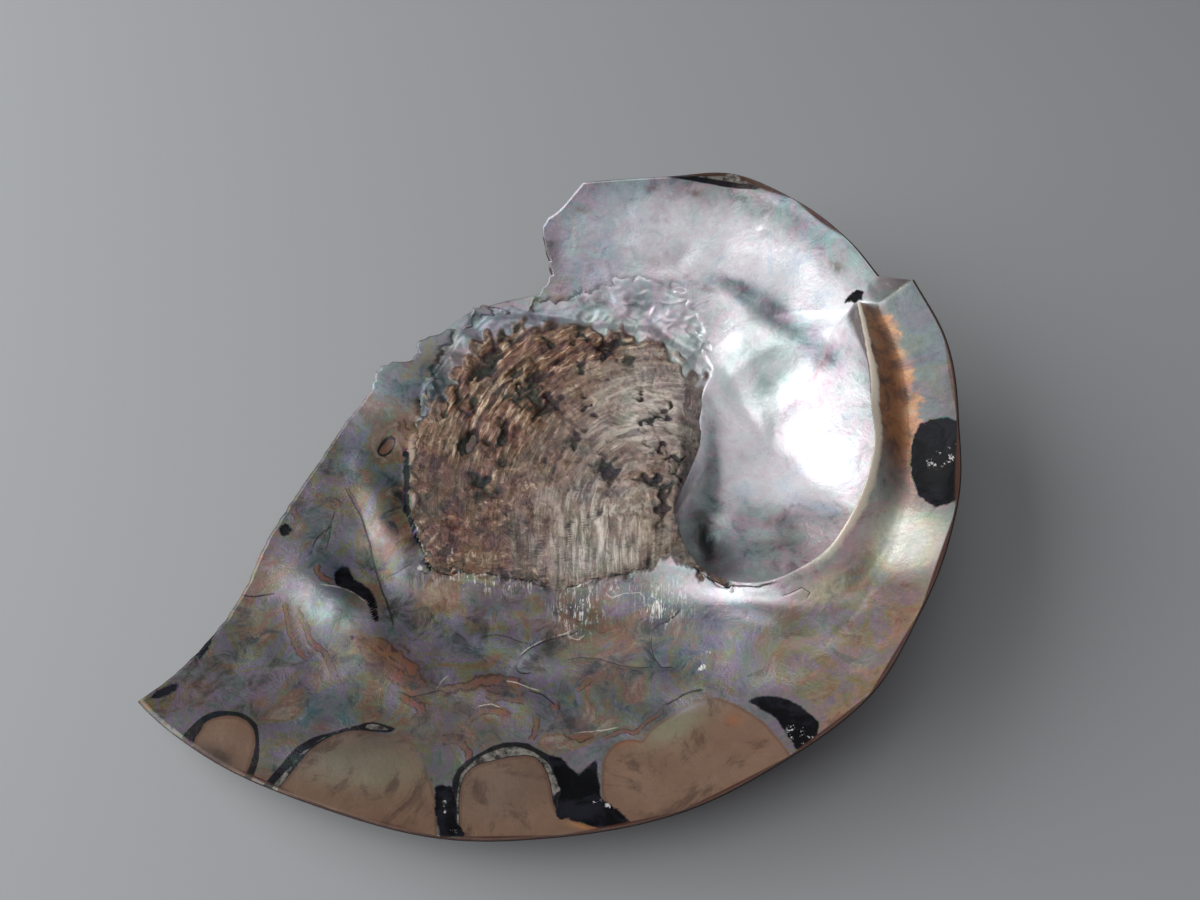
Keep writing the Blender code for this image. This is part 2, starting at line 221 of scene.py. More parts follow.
# Closed outlines of the black horny patches, one of them (gap) a black painted shadow beyond the blister, and
# where they are flecked with white
blackPatches = {
    "rightEdge": [
        (920, 424), (930, 418), (948, 417), (962, 422), (975, 450), (975, 480), (957, 502), (935, 507),
        (920, 498), (912, 480), (910, 455), (914, 435),
    ],
    "almond": [
        (748, 701), (758, 696.4), (770, 695.6), (784, 697.6), (799, 704), (811, 714), (818, 722),
        (818, 732), (816, 745), (800, 752), (790, 740), (782, 728), (776, 718), (766, 711), (755, 706),
    ],
    "blob": [
        (546, 753), (560, 757), (568, 766), (579, 775), (588, 766), (597, 759), (598, 772), (600, 788),
        (602, 798), (611, 805), (621, 813), (631, 823), (612, 827), (596, 827), (580, 823), (568, 818),
        (558, 819), (556, 812), (558, 800), (560, 790), (556, 780), (552, 768),
    ],
    "bar": [
        (434, 784.5), (452, 785.5), (457, 800), (458, 822), (466, 836), (440, 840), (437, 822), (434, 810),
        (435, 796),
    ],
    "step": [
        (843, 305), (846, 299), (851, 293), (859, 290), (864, 291), (861, 299), (855, 304), (850, 302),
    ],
    "notch": [(216, 621), (215, 634), (209, 650), (199, 660), (188, 652), (204, 634)],
    "tip": [(150, 697), (158, 690), (170, 684), (180, 682), (177, 690), (168, 695), (158, 699)],
    # gap is no horn: a black painted shadow in the hollow beyond the blister's steep side
    "gap": [
        (333, 572), (338, 568), (343, 564), (349, 567), (351, 573), (354, 578), (362, 583), (369, 588),
        (375, 597), (378, 609), (379, 622), (374, 624), (371, 612), (366, 602), (358, 596), (350, 590),
        (342, 588), (336, 584),
    ],
    "hole": [(278, 530), (281, 524), (287, 523), (292, 528), (291, 534), (285, 538), (280, 536)],
    "smallHole": [(349, 638), (353, 634.6), (359, 634.6), (355, 637.6), (351, 641)],
    "scarCrack": [
        (402, 448), (407, 444), (410, 456), (410, 500), (414, 520), (418, 538), (424, 553), (432, 566),
        (429, 571), (421, 556), (414, 538), (407, 520), (402, 508), (403, 480),
    ],
}
whiteFlecks = [
    (942, 458, 18, 9, -20), (962, 446, 9, 5, -20), (920, 438, 3, 3, 0), (800, 735, 14, 9, 30),
    (444, 806, 2, 8, 0), (452, 830, 5, 4, 0), (597, 800, 4, 5, 30), (612, 808, 8, 3, 30),
    (730, 173, 14, 4, 10), (705, 649, 8, 5, 10), (703, 664, 6, 8, 20), (892, 284, 16, 6, 0),
    (424, 560, 5, 12, 25),
]

# Pale lacy threads below the scar: x, y, half width, half height, turned, strength
laceZones = [
    (578, 606, 22, 26, 0, 1.0), (662, 604, 24, 20, 0, 0.9), (490, 582, 60, 10, 4, 0.7), (625, 588, 30, 10, 0, 0.6),
]

# Where the edge of a tan filling is soft: x, y, half width, half height, turned, strength
softEdges = [(414, 752, 22, 26, 0, 1.0), (690, 700, 40, 8, -20, 0.3)]

# Open lines: dark cracks and edges, pale ones, and rusty ones, each with half its width
darkVeins = [
    (1.6, [
        (345, 488), (352, 500), (359, 513), (364, 525), (369, 542), (373, 560), (379, 580), (385, 598),
        (390, 612), (394, 627), (389, 634),
    ]),
    (1.3, [(412, 522), (418, 532), (421, 548), (427, 560), (432, 571), (424, 574), (416, 566)]),
    (1.6, [
        (432, 573), (450, 573), (470, 570), (490, 573), (504, 578), (520, 579), (540, 585), (560, 587),
        (575, 583), (590, 578), (612, 576), (630, 572), (640, 563), (650, 565),
    ]),
    (1.2, [(548, 586), (562, 589), (572, 584), (580, 583)]),
    (1.5, [(652, 631), (658, 625), (668, 621), (676, 614), (682, 607)]),
    (0.8, [(652, 632), (651, 645), (654, 658), (662, 668), (676, 666)]),
    (1.0, [(518, 660), (524, 654), (535, 646), (548, 640), (562, 637), (572, 634), (580, 630)]),
    (1.3, [(517, 662), (516, 668), (521, 673), (532, 673)]),
    (1.1, [(528, 690), (540, 694), (548, 699), (556, 706)]),
    (1.5, [(664, 705), (674, 700), (684, 694.5), (694, 691), (706, 689.4)]),
    (0.7, [(480, 637), (495, 635), (508, 637), (520, 642), (534, 645)]),
    (0.7, [(560, 661), (580, 657), (600, 659), (620, 665), (640, 668), (655, 667)]),
    (0.6, [(780, 596), (792, 592), (802, 587), (810, 592), (806, 600)]),
    (1.2, [(330, 527), (322, 532), (315, 540), (312, 548)]),
    (0.8, [(335, 508), (332, 520), (330, 530), (328, 545), (324, 552)]),
    (0.8, [(386, 577), (397, 573), (407, 566), (414, 562)]),
    (1.2, [(240, 595), (252, 597), (266, 595), (276, 593)]),
    (0.7, [(395, 690), (410, 697), (425, 694), (440, 690), (455, 697)]),
    (1.6, [(672, 540), (680, 552), (690, 563), (702, 574), (716, 582), (735, 586), (760, 586), (782, 580)]),
]
paleVeins = [
    (1.0, [(519, 656), (527, 650), (537, 643), (550, 637), (565, 634), (574, 629)]),
    (1.0, [(568, 637), (578, 640), (585, 635)]),
    (1.0, [(505, 681), (518, 683), (530, 688), (540, 691)]),
    (0.9, [(604, 592), (612, 598), (624, 594), (640, 593), (646, 600)]),
    (1.0, [(436, 690), (441, 681), (448, 676)]),
    (1.0, [(538, 585), (546, 582), (556, 587), (572, 588)]),
    (1.0, [(566, 724), (574, 733), (590, 732), (604, 730), (620, 727)]),
    (1.2, [(414, 520), (420, 538), (424, 554), (431, 566)]),
    (0.9, [(470, 712), (480, 706), (492, 704), (502, 708)]),
    (1.2, [(320, 585), (332, 586), (345, 588), (357, 594), (366, 603)]),
]
rustVeins = [
    (5.0, [(437, 697), (447, 690), (462, 686), (478, 682), (495, 681), (512, 684), (528, 690)]),
    (4.0, [(482, 694), (500, 696), (515, 700), (526, 700)]),
    (4.0, [(552, 700), (557, 712), (562, 722), (570, 733), (580, 737), (596, 733)]),
    (2.5, [(535, 716), (537, 724), (535, 734), (532, 742)]),
    (3.0, [(466, 726), (472, 716), (482, 711), (494, 709), (504, 714), (508, 722)]),
    (3.0, [(440, 740), (452, 738), (462, 742), (468, 752), (470, 764)]),
    (3.5, [(399, 695), (412, 700), (422, 708), (420, 720), (410, 724)]),
    (3.0, [(300, 598), (298, 610), (304, 625), (310, 640), (320, 650), (330, 662), (336, 676)]),
    (2.0, [(284, 598), (286, 612), (290, 628), (292, 642), (300, 654), (310, 660)]),
    (3.0, [(317, 563), (319, 572), (325, 580), (334, 582)]),
    (5.0, [(352, 640), (362, 646), (372, 656), (384, 666), (396, 676), (410, 688), (426, 694)]),
    (5.0, [(372, 642), (386, 648), (400, 660), (414, 672), (428, 688)]),
    (1.6, [(346, 486), (352, 497), (358, 508), (362, 518)]),
    (2.0, [(525, 694), (520, 690)]),
    (3.0, [(295, 503), (293, 512), (297, 520)]),
    (3.0, [(327, 505), (334, 502), (339, 508)]),
    (1.5, [(495, 612), (494, 622)]),
    (2.5, [(575, 690), (586, 684), (592, 680)]),
    (4.0, [(400, 418), (404, 430), (410, 440), (418, 436)]),
    (3.0, [(416, 472), (424, 466), (420, 480)]),
    (1.8, [(600, 742), (608, 736), (620, 732), (634, 733), (641, 728), (652, 718), (666, 708)]),
]

# Soft colour zones of the mother-of-pearl, some of them painted highlights and painted shade, laid over each other
# in this order:
# colour, x, y, half width, half height, turned, strength
pearlColours = {
    "base": (126, 124, 122), "milk": (248, 248, 250), "silver": (216, 219, 224), "steel": (150, 162, 174),
    "slate": (92, 104, 118), "mint": (190, 208, 200), "teal": (68, 96, 100), "sage": (118, 126, 104),
    "rose": (214, 192, 200), "lilac": (140, 132, 158), "mauve": (112, 96, 98), "straw": (230, 230, 200),
    "honey": (170, 116, 62), "copper": (128, 80, 54), "sand": (178, 146, 116), "clay": (108, 84, 68),
    "umber": (92, 62, 48), "smoke": (78, 75, 72), "soot": (44, 42, 44),
}
pearlZones = [
    ("silver", 600, 240, 90, 60, 0, 0.6), ("steel", 600, 192, 60, 14, 0, 0.5),
    # milk at (760, 265): pale nacre brightened into a painted highlight on the hollow's far wall
    ("steel", 570, 270, 30, 50, 0, 0.4), ("milk", 760, 265, 120, 46, 28, 0.95),
    ("steel", 820, 225, 80, 20, 42, 0.7), ("mint", 850, 262, 40, 12, 45, 0.6),
    # milk at (775, 420): pale nacre brightened into a painted highlight over the hollow's floor
    ("milk", 775, 420, 110, 130, 0, 0.9), ("mint", 780, 370, 40, 26, 0, 0.45),
    # slate from (684, 256) to (820, 350): painted shade in the groove between the hollow's far band and its floor
    ("rose", 815, 400, 28, 50, 0, 0.4), ("slate", 684, 256, 9, 12, 30, 0.6),
    ("slate", 736, 288, 26, 9, 22, 0.7), ("slate", 780, 316, 34, 13, 32, 0.7),
    ("slate", 820, 350, 26, 14, 40, 0.55), ("smoke", 785, 532, 46, 24, 0, 0.6),
    # slate at (712, 480): painted shade on the columella wall that faces away from the window
    ("slate", 712, 480, 8, 60, 0, 0.6), ("steel", 735, 545, 20, 30, 0, 0.5),
    ("silver", 640, 300, 70, 26, 5, 0.5), ("smoke", 930, 350, 24, 70, -14, 0.6),
    ("straw", 905, 548, 46, 36, -10, 0.95), ("rose", 852, 545, 14, 40, 25, 0.6),
    ("silver", 945, 560, 12, 40, 8, 0.6), ("clay", 895, 605, 46, 34, -20, 0.8),
    ("sand", 930, 610, 18, 50, 22, 0.8), ("sand", 880, 655, 60, 34, -38, 0.75),
    ("sand", 860, 690, 60, 26, -38, 0.8), ("umber", 845, 620, 26, 16, 0, 0.5),
    # milk at (745, 594): a painted highlight along the hollow's lip
    ("milk", 745, 594, 60, 10, 2, 0.9), ("rose", 812, 590, 34, 14, -25, 0.6),
    ("straw", 830, 588, 26, 14, -30, 0.7), ("sage", 770, 640, 46, 26, 0, 0.6),
    ("smoke", 800, 640, 40, 24, 0, 0.5), ("silver", 720, 690, 60, 16, 0, 0.4),
    ("mauve", 690, 690, 60, 20, 0, 0.4), ("smoke", 560, 650, 200, 60, 0, 0.75),
    ("mauve", 560, 616, 90, 22, 0, 0.5), ("teal", 600, 705, 70, 26, 0, 0.45),
    ("smoke", 430, 640, 90, 60, 10, 0.8), ("teal", 500, 655, 40, 14, 10, 0.5),
    ("mauve", 560, 665, 50, 14, 0, 0.5), ("slate", 697, 633, 42, 30, 10, 0.85),
    ("teal", 670, 645, 22, 22, 0, 0.6), ("silver", 745, 612, 30, 8, 20, 0.6),
    ("smoke", 260, 700, 120, 50, -10, 0.6), ("teal", 320, 708, 46, 20, 0, 0.6),
    ("lilac", 318, 676, 22, 12, 0, 0.6), ("mauve", 380, 740, 60, 20, 0, 0.4),
    ("sage", 440, 765, 30, 20, 0, 0.5), ("smoke", 260, 650, 60, 26, -20, 0.6),
    ("smoke", 340, 540, 90, 70, 60, 0.8), ("slate", 300, 540, 34, 20, 60, 0.7),
    ("teal", 330, 560, 20, 26, 30, 0.6), ("mauve", 350, 535, 14, 36, -15, 0.5),
    ("silver", 375, 525, 9, 26, -25, 0.6), ("rose", 276, 566, 16, 26, 30, 0.6),
    ("silver", 300, 588, 20, 20, 40, 0.3), ("mint", 334, 612, 26, 16, 25, 0.9),
    ("silver", 362, 612, 12, 18, 0, 0.5), ("smoke", 360, 450, 50, 60, 30, 0.5),
    ("teal", 352, 470, 18, 24, 20, 0.6), ("steel", 380, 400, 26, 40, 30, 0.6),
    ("teal", 432, 400, 20, 34, 10, 0.95), ("umber", 404, 500, 9, 52, -4, 0.9),
    ("sand", 411, 436, 8, 12, 20, 0.9), ("sand", 414, 478, 6, 30, -4, 0.8),
    ("umber", 388, 444, 7, 11, 35, 0.95), ("soot", 392, 520, 18, 12, 20, 0.8),
    ("teal", 384, 470, 16, 26, -10, 0.7), ("sand", 350, 492, 20, 7, 20, 0.6),
    # slate at (352, 582): painted shadow beyond the blister
    ("umber", 330, 535, 8, 24, 20, 0.6), ("slate", 352, 582, 26, 22, 40, 0.8),
    ("smoke", 230, 650, 40, 60, 30, 0.6), ("umber", 164, 698, 22, 13, -30, 0.9),
    # soot at (374, 574): painted shadow beyond the blister
    ("soot", 152, 700, 16, 8, -30, 0.7), ("soot", 374, 574, 16, 22, -30, 0.7),
    ("slate", 450, 445, 20, 16, 0, 0.6), ("steel", 500, 322, 60, 14, -8, 0.6),
    # soot at (706, 542): painted shadow in the pit under the curled columella
    ("soot", 400, 500, 14, 46, -6, 0.5), ("soot", 706, 542, 9, 22, -8, 0.95),
    # smoke at (722, 560): the pit's painted shade fading to the right
    ("smoke", 722, 560, 16, 16, 0, 0.6), ("sand", 448, 594, 26, 16, 10, 0.5),
    ("steel", 620, 590, 26, 10, 0, 0.5), ("soot", 553, 252, 7, 14, 0, 0.8),
    # milk at (680, 238): a painted highlight on the hollow's far wall
    ("milk", 680, 238, 56, 26, 12, 0.7), ("sand", 812, 655, 46, 30, -20, 0.5),
    ("milk", 905, 540, 28, 26, 0, 0.5), ("silver", 600, 240, 60, 40, 0, 0.5),
    ("soot", 432, 396, 13, 22, 10, 0.6), ("smoke", 932, 345, 18, 50, -10, 0.5),
    ("soot", 600, 302, 9, 7, -30, 0.6), ("slate", 640, 300, 9, 12, 30, 0.6),
    ("silver", 365, 395, 20, 30, 30, 0.5), ("soot", 404, 480, 9, 40, 0, 0.5),
]

# Tints in the tan fillings, and rusty stains: x, y, half width, half height, turned, strength
lobeTints = [
    ("sage", 672, 728, 32, 12, -22, 0.6), ("steel", 678, 709, 26, 5, -16, 0.4),
    ("smoke", 350, 750, 60, 22, -10, 0.7), ("sage", 370, 770, 60, 20, 0, 0.4),
    ("umber", 390, 822, 26, 8, 10, 0.5), ("smoke", 500, 785, 40, 26, 0, 0.4),
    ("soot", 214, 755, 20, 8, 22, 0.9), ("copper", 734, 720, 8, 6, 0, 0.7),
    ("umber", 758, 743, 8, 7, 0, 0.6), ("umber", 719, 747, 6, 5, 0, 0.4),
    ("umber", 386, 446, 12, 12, 0, 0.8), ("copper", 622, 742, 22, 5, -5, 0.5),
    ("honey", 590, 826, 16, 3, 8, 0.8), ("umber", 340, 795, 40, 8, 0, 0.2),
    ("slate", 735, 176, 26, 8, 10, 0.9),
]
rustStains = [
    (262, 703, 10, 8, 0, 0.9), (321, 728, 10, 7, 0, 0.8), (836, 266, 9, 6, 30, 0.8),
    (583, 209, 9, 4, 5, 0.8), (652, 188, 8, 4, 0, 0.8), (696, 194, 8, 4, 0, 0.8),
    (765, 190, 10, 3, 10, 0.9), (945, 382, 9, 9, 0, 0.8), (823, 362, 7, 8, 0, 0.7),
    (704, 288, 14, 5, 20, 0.6), (546, 625, 24, 8, 10, 0.5), (485, 593, 8, 6, 0, 0.6),
    (580, 722, 10, 5, 0, 0.5), (625, 687, 8, 5, 0, 0.5), (664, 689, 9, 4, 0, 0.5),
    (203, 686, 14, 6, 0, 0.6), (195, 703, 20, 8, -5, 0.5), (270, 585, 14, 5, 0, 0.4),
    (287, 740, 14, 5, 0, 0.4), (338, 480, 10, 7, 0, 0.5), (440, 362, 14, 5, 0, 0.5),
    (408, 364, 6, 5, 0, 0.7), (560, 300, 10, 20, 20, 0.4), (440, 655, 20, 8, 20, 0.2),
    (460, 735, 30, 16, 0, 0.35), (490, 722, 30, 12, 0, 0.4), (440, 712, 24, 12, 0, 0.4),
    (395, 662, 24, 15, 35, 0.8), (664, 540, 7, 4, 0, 1.0), (748, 213, 8, 4, 30, 0.3),
    (655, 262, 10, 6, 0, 0.3),
]

# Where bands of the inside begin, as bearings from the hollow's centre, and the degrees over which they grow
pearlSpans = {
    "mottle": (122, 30), "shelf": (262, 40), "plainer": (280, 30), "valley": (300, 36), "lipEnd": (403, -4),
}

# Waves of the hollow's floor and of the bowl: x, y, half width, half height, turned, height
pearlWaves = [
    (684, 256, 9, 12, 30, -0.5), (738, 292, 30, 9, 22, -0.5), (782, 320, 34, 12, 32, -0.5),
    (822, 352, 24, 12, 40, -0.4), (760, 264, 70, 16, 28, 0.5), (745, 240, 34, 16, 20, -0.4),
    (742, 330, 34, 18, 20, 0.8), (790, 380, 34, 24, 20, -0.5), (748, 440, 20, 40, 10, 0.6),
    (790, 440, 26, 30, 0, -0.5), (812, 500, 26, 26, 0, 0.5), (772, 540, 34, 14, 0, -0.6),
    (735, 500, 16, 24, 0, 0.4), (763, 231, 4, 4, 0, 0.5), (706, 542, 8, 18, 0, -1.8),
    (640, 302, 9, 8, 40, -0.6), (603, 296, 8, 6, -30, -0.6), (660, 280, 20, 10, 10, 0.4),
    (620, 250, 30, 12, 0, 0.3), (680, 250, 10, 14, 20, -0.5), (560, 290, 12, 16, 0, -0.3),
    (338, 612, 14, 11, 10, 1.0), (352, 612, 12, 18, 20, -0.4), (345, 600, 24, 6, 30, 0.6),
    (356, 582, 20, 8, 40, -1.0), (430, 600, 30, 10, 10, -0.3), (470, 610, 40, 8, 0, 0.3),
    (388, 443, 9, 6, -50, -0.6), (500, 640, 40, 8, 5, 0.25), (697, 633, 40, 26, 10, -0.5),
    (745, 604, 50, 6, 4, 0.4), (850, 600, 20, 10, -30, 0.4), (880, 640, 40, 12, -40, 0.3),
]

# The muscle scar: its outline, that of its fibrous part, its fibres' centre, and its dark curled pits
# (x, y, half width, half height, turned), all as places in the photograph
muscleScar = {
    "outline": [
        (414, 440), (413, 480), (415, 515), (421, 540), (428, 560), (436, 573), (480, 572), (530, 581),
        (565, 588), (590, 580), (632, 574), (652, 566), (672, 556), (690, 568), (712, 582), (733, 588),
        (722, 568), (711, 545), (706, 520), (709, 480), (715, 420), (716, 380), (708, 345), (700, 310),
        (680, 282), (640, 270), (600, 282), (570, 296), (520, 306), (478, 316), (446, 338), (430, 376),
        (417, 405),
    ],
    "fibres": [
        (408, 440), (407, 480), (409, 515), (415, 545), (424, 570), (436, 585), (480, 584), (530, 593),
        (565, 600), (590, 592), (632, 586), (700, 594), (740, 596), (722, 568), (711, 545), (706, 520),
        (709, 480), (713, 430), (706, 392), (690, 370), (661, 350), (630, 336), (590, 326), (530, 324),
        (487, 336), (460, 362), (440, 398),
    ],
    "fibreCentre": (656, 520),
    # x, y, half width, half height, turned, amount
    "widerRims": [(650, 290, 90, 50, 0, 20), (440, 400, 50, 70, 0, 8), (712, 440, 20, 90, 0, 6)],
    "rim": 5,
    "silkyPlaces": [(600, 530, 62, 70, 0, 1), (640, 410, 56, 56, 0, 1)],
    "chunkyPlaces": [(497, 396, 72, 60, -25, 1), (592, 345, 72, 20, 0, 0.8)],
    "steppedPlaces": [(655, 425, 50, 70, 0, 1), (560, 420, 50, 50, 0, 0.4)],
    "fibreTurn": 130,
    "margin": 9,
    "growthTried": (0.55, 1.75, 260),
    "bearings": (112, 250),
    "columns": 300,
    "topRows": 270,
    "bottomRows": 24,
    "sunk": 0.35,
    "level": 0.45,
    "bed": 1.9,
    "thickness": 1.6,
    "fibre": 0.22,
    "band": 0.2,
    "cloud": 0.25,
    "knob": 0.1,
    "strand": 0.06,
    "chunk": 0.95,
    "ledge": 0.7,
    "lump": 0.2,
    "crumb": 0.16,
    "pitDepth": 1.0,
}
scarPits = [
    (582, 337, 12, 4, -8), (606, 343, 9, 4, 20), (545, 340, 9, 4, 20), (540, 398, 14, 6, 25),
    (552, 402, 8, 8, -35), (573, 446, 5, 9, 20), (588, 408, 5, 5, 0), (640, 395, 3, 7, 20),
    (655, 417, 8, 3, -15), (668, 410, 4, 7, 10), (645, 424, 10, 3, -20), (660, 448, 9, 4, 20),
    (678, 456, 11, 3, -10), (679, 470, 4, 7, -15), (645, 478, 8, 3, 0), (610, 470, 9, 11, 0),
    (480, 480, 7, 9, 0), (478, 442, 14, 6, 0), (520, 392, 12, 5, -40), (495, 362, 9, 4, -40),
    (664, 500, 4, 22, 8), (700, 358, 8, 7, -30), (656, 478, 5, 8, 15), (500, 345, 12, 4, -35),
    (560, 360, 10, 3, -40),
]
# colour, x, y, half width, half height, turned, strength
scarZones = [
    ("rust", 500, 375, 70, 40, -20, 0.7), ("rust", 450, 510, 34, 60, 0, 0.7),
    ("rust", 520, 420, 40, 30, -30, 0.6), ("rust", 580, 345, 60, 14, 10, 0.6),
    ("brown", 500, 520, 60, 40, 0, 0.6), ("brown", 480, 440, 40, 30, 0, 0.6),
    ("cream", 520, 400, 36, 14, -35, 0.5), ("cream", 600, 400, 60, 40, -20, 0.6),
    ("cream", 590, 510, 60, 60, 0, 0.5), ("silver", 650, 400, 40, 50, 0, 0.6),
    ("silver", 690, 440, 16, 110, 0, 0.85), ("silver", 600, 560, 70, 20, 0, 0.4),
    ("slate", 480, 482, 15, 15, 0, 0.95), ("slate", 520, 528, 16, 13, 0, 0.85),
    ("slate", 600, 468, 18, 14, 0, 0.9), ("slate", 466, 445, 28, 12, 0, 0.9),
    ("teal", 437, 400, 20, 26, 0, 0.9), ("silver", 650, 345, 60, 20, 15, 0.7),
    ("cream", 425, 500, 9, 60, 0, 0.5), ("teal", 590, 490, 16, 14, 0, 0.4),
    ("silver", 545, 555, 26, 14, 0, 0.4), ("pearl", 704, 365, 12, 40, 0, 0.8),
    ("rust", 545, 350, 40, 16, 0, 0.7), ("cream", 660, 520, 30, 50, 0, 0.5),
]
scarColours = {
    "base": (116, 95, 80), "rust": (112, 70, 46), "cream": (176, 160, 140), "silver": (184, 182, 178),
    "slate": (58, 64, 74), "teal": (66, 92, 98), "brown": (88, 66, 54), "pearl": (200, 202, 206),
}


def smoothCurve(keys, at):
    # a cubic through (position, value...) keys, each slope taken from its two neighbours
    keys = np.array(keys, float)
    place, value = keys[:, 0], keys[:, 1:]
    slope = np.gradient(value, place, axis=0)
    first = np.clip(np.searchsorted(place, at) - 1, 0, len(place) - 2)
    width = (place[first + 1] - place[first])[:, None]
    t = np.clip((at - place[first])[:, None] / width, 0, 1)
    start = (2 * t**3 - 3 * t**2 + 1) * value[first] + (t**3 - 2 * t**2 + t) * slope[first] * width
    end = (3 * t**2 - 2 * t**3) * value[first + 1] + (t**3 - t**2) * slope[first + 1] * width
    return (start + end).squeeze()


def alongLine(points, count):
    # even steps along a smooth curve through the points, by its length from the start
    points = np.array(points, float)
    steps = np.linalg.norm(np.diff(points[:, :2], axis=0), axis=1)
    place = np.concatenate([[0], np.cumsum(steps)])
    return smoothCurve(np.column_stack([place, points]), np.linspace(0, place[-1], count))


def outlineDistance(x, y, outline):
    # signed distance to a closed outline, negative inside: the nearest side, and a count of crossings
    points = np.array(outline, float)
    nearest = np.full(x.shape, 1e6)
    inside = np.zeros(x.shape, bool)
    for (ax, ay), (bx, by) in zip(points, np.roll(points, -1, axis=0)):
        dx, dy = bx - ax, by - ay
        part = np.clip(((x - ax) * dx + (y - ay) * dy) / (dx * dx + dy * dy), 0, 1)
        nearest = np.minimum(nearest, np.hypot(x - ax - part * dx, y - ay - part * dy))
        if dy:
            inside ^= ((ay > y) != (by > y)) & (x < dx * (y - ay) / dy + ax)
    return np.where(inside, -nearest, nearest)


def nearestOutline(x, y, outlines):
    # signed distance to the nearest of several outlines
    return np.min([outlineDistance(x, y, outline) for outline in outlines.values()], axis=0)


def sideDistance(x, y, line):
    # distance to an open line with a sign for its side, and the share of it passed at the nearest place
    points = np.array(line, float)[:, :2]
    runs = np.linalg.norm(np.diff(points, axis=0), axis=1)
    passed = np.concatenate([[0], np.cumsum(runs)])
    nearest = np.full(x.shape, 1e6)
    side = np.ones(x.shape)
    share = np.zeros(x.shape)
    for (ax, ay), (bx, by), before, run in zip(points, points[1:], passed, runs):
        dx, dy = bx - ax, by - ay
        part = np.clip(((x - ax) * dx + (y - ay) * dy) / run**2, 0, 1)
        offX, offY = x - ax - part * dx, y - ay - part * dy
        away = np.hypot(offX, offY)
        side = np.where(away < nearest, np.where(dx * offY < dy * offX, -1.0, 1.0), side)
        share = np.where(away < nearest, (before + part * run) / passed[-1], share)
        nearest = np.minimum(nearest, away)
    return nearest * side, share


def veinField(x, y, veins):
    # for the nearest vein: distance over half width, signed, and a strength that fades at its ends
    value = np.full(x.shape, 99.0)
    strength = np.zeros(x.shape)
    for halfWidth, line in veins:
        away, share = sideDistance(x, y, line)
        here = np.abs(away) / halfWidth < np.abs(value)
        value = np.where(here, away / halfWidth, value)
        ends = ease(share * 9) * ease((1 - share) * 9)
        strength = np.where(here, ends * ease((halfWidth + 6 - np.abs(away)) / 3), strength)
    return value, strength


def ease(t):
    # 0 below 0, 1 above 1, smooth between: 3t squared minus 2t cubed
    t = np.clip(t, 0, 1)
    return t * t * (3 - 2 * t)


def bell(x, y, centreX, centreY, halfLength, halfWidth, turn):
    # 1 at the centre of a turned oval, falling as exp(-distance squared)
    angle = np.radians(turn)
    along = (x - centreX) * np.cos(angle) + (y - centreY) * np.sin(angle)
    across = (y - centreY) * np.cos(angle) - (x - centreX) * np.sin(angle)
    return np.exp(-(along / halfLength) ** 2 - (across / halfWidth) ** 2)


def gathered(x, y, places):
    # the sum of several bells, each times the last number of its row
    return sum(amount * bell(x, y, *place) for *place, amount in places)


def ripples(x, y, size, seed, waves=14):
    # a smooth random surface of height about 1: a sum of plane waves in seeded directions
    chance = np.random.default_rng(seed)
    height = np.zeros(np.broadcast(x, y).shape)
    for direction, phase, stretch in zip(
        chance.uniform(0, np.pi, waves), chance.uniform(0, 2 * np.pi, waves), chance.uniform(0.6, 1.6, waves)
    ):
        run = (x * np.cos(direction) + y * np.sin(direction)) * stretch / size
        height = height + np.sin(2 * np.pi * run + phase)
    return height / np.sqrt(waves / 2)


def inPhotograph(points):
    # perspective: the place in the photograph of points given in millimetres
    tilt = np.radians(photoView["elevation"])
    forward = np.array([0, np.cos(tilt), -np.sin(tilt)])
    up = np.array([0, np.sin(tilt), np.cos(tilt)])
    eye = np.array(photoView["aim"]) - forward * photoView["distance"]
    seen = points - eye
    depth = seen @ forward
    across = photoView["width"] / 2 + photoView["focalPixels"] * seen[..., 0] / depth
    down = photoView["height"] / 2 - photoView["focalPixels"] * (seen @ up) / depth
    return across, down


def columnEnds(form):
    # the plan point where each column ends, at even steps round the shell; the broken side is chipped
    edge = form["wholeEdge"]
    runs = (edge[:form["breakFrom"] + 1], form["breakLine"], edge[form["breakTo"]:])
    lengths = [np.linalg.norm(np.diff(np.array(run, float)[:, :2], axis=0), axis=1).sum() for run in runs]
    far, broken = (int(round(form["columns"] * length / sum(lengths))) for length in lengths[:2])
    ends = np.concatenate([
        alongLine(runs[0], far + 1)[:-1, :2],
        alongLine(runs[1], broken + 1)[:-1, :2],
        alongLine(runs[2], form["columns"] - far - broken)[:, :2],
    ])
    isBroken = np.zeros(form["columns"], bool)
    isBroken[far:far + broken] = True
    place = np.linspace(0, lengths[1], broken)
    worn = ripples(place, 0, 24, 3) + 0.4 * ripples(place, 0, 5, 5)
    chips = 0.8 * ripples(place, 0, 13, 9) + 0.3 * ripples(place, 0, 2.5, 6)
    chips = chips + 0.7 * np.abs(ripples(place, 0, 6, 4))
    chipped = ease((form["chippedLength"] - place) / 8)
    calm = ease((place - 5) / 14) * ease((lengths[1] - place) / 8)
    inward = np.array(form["hollow"]) - ends[far:far + broken]
    inward = inward / np.linalg.norm(inward, axis=1)[:, None]
    jag = fineRelief["breakWear"] * worn + fineRelief["breakChip"] * chips * chipped
    ends[far:far + broken] += inward * (jag * calm)[:, None]
    return ends, isBroken


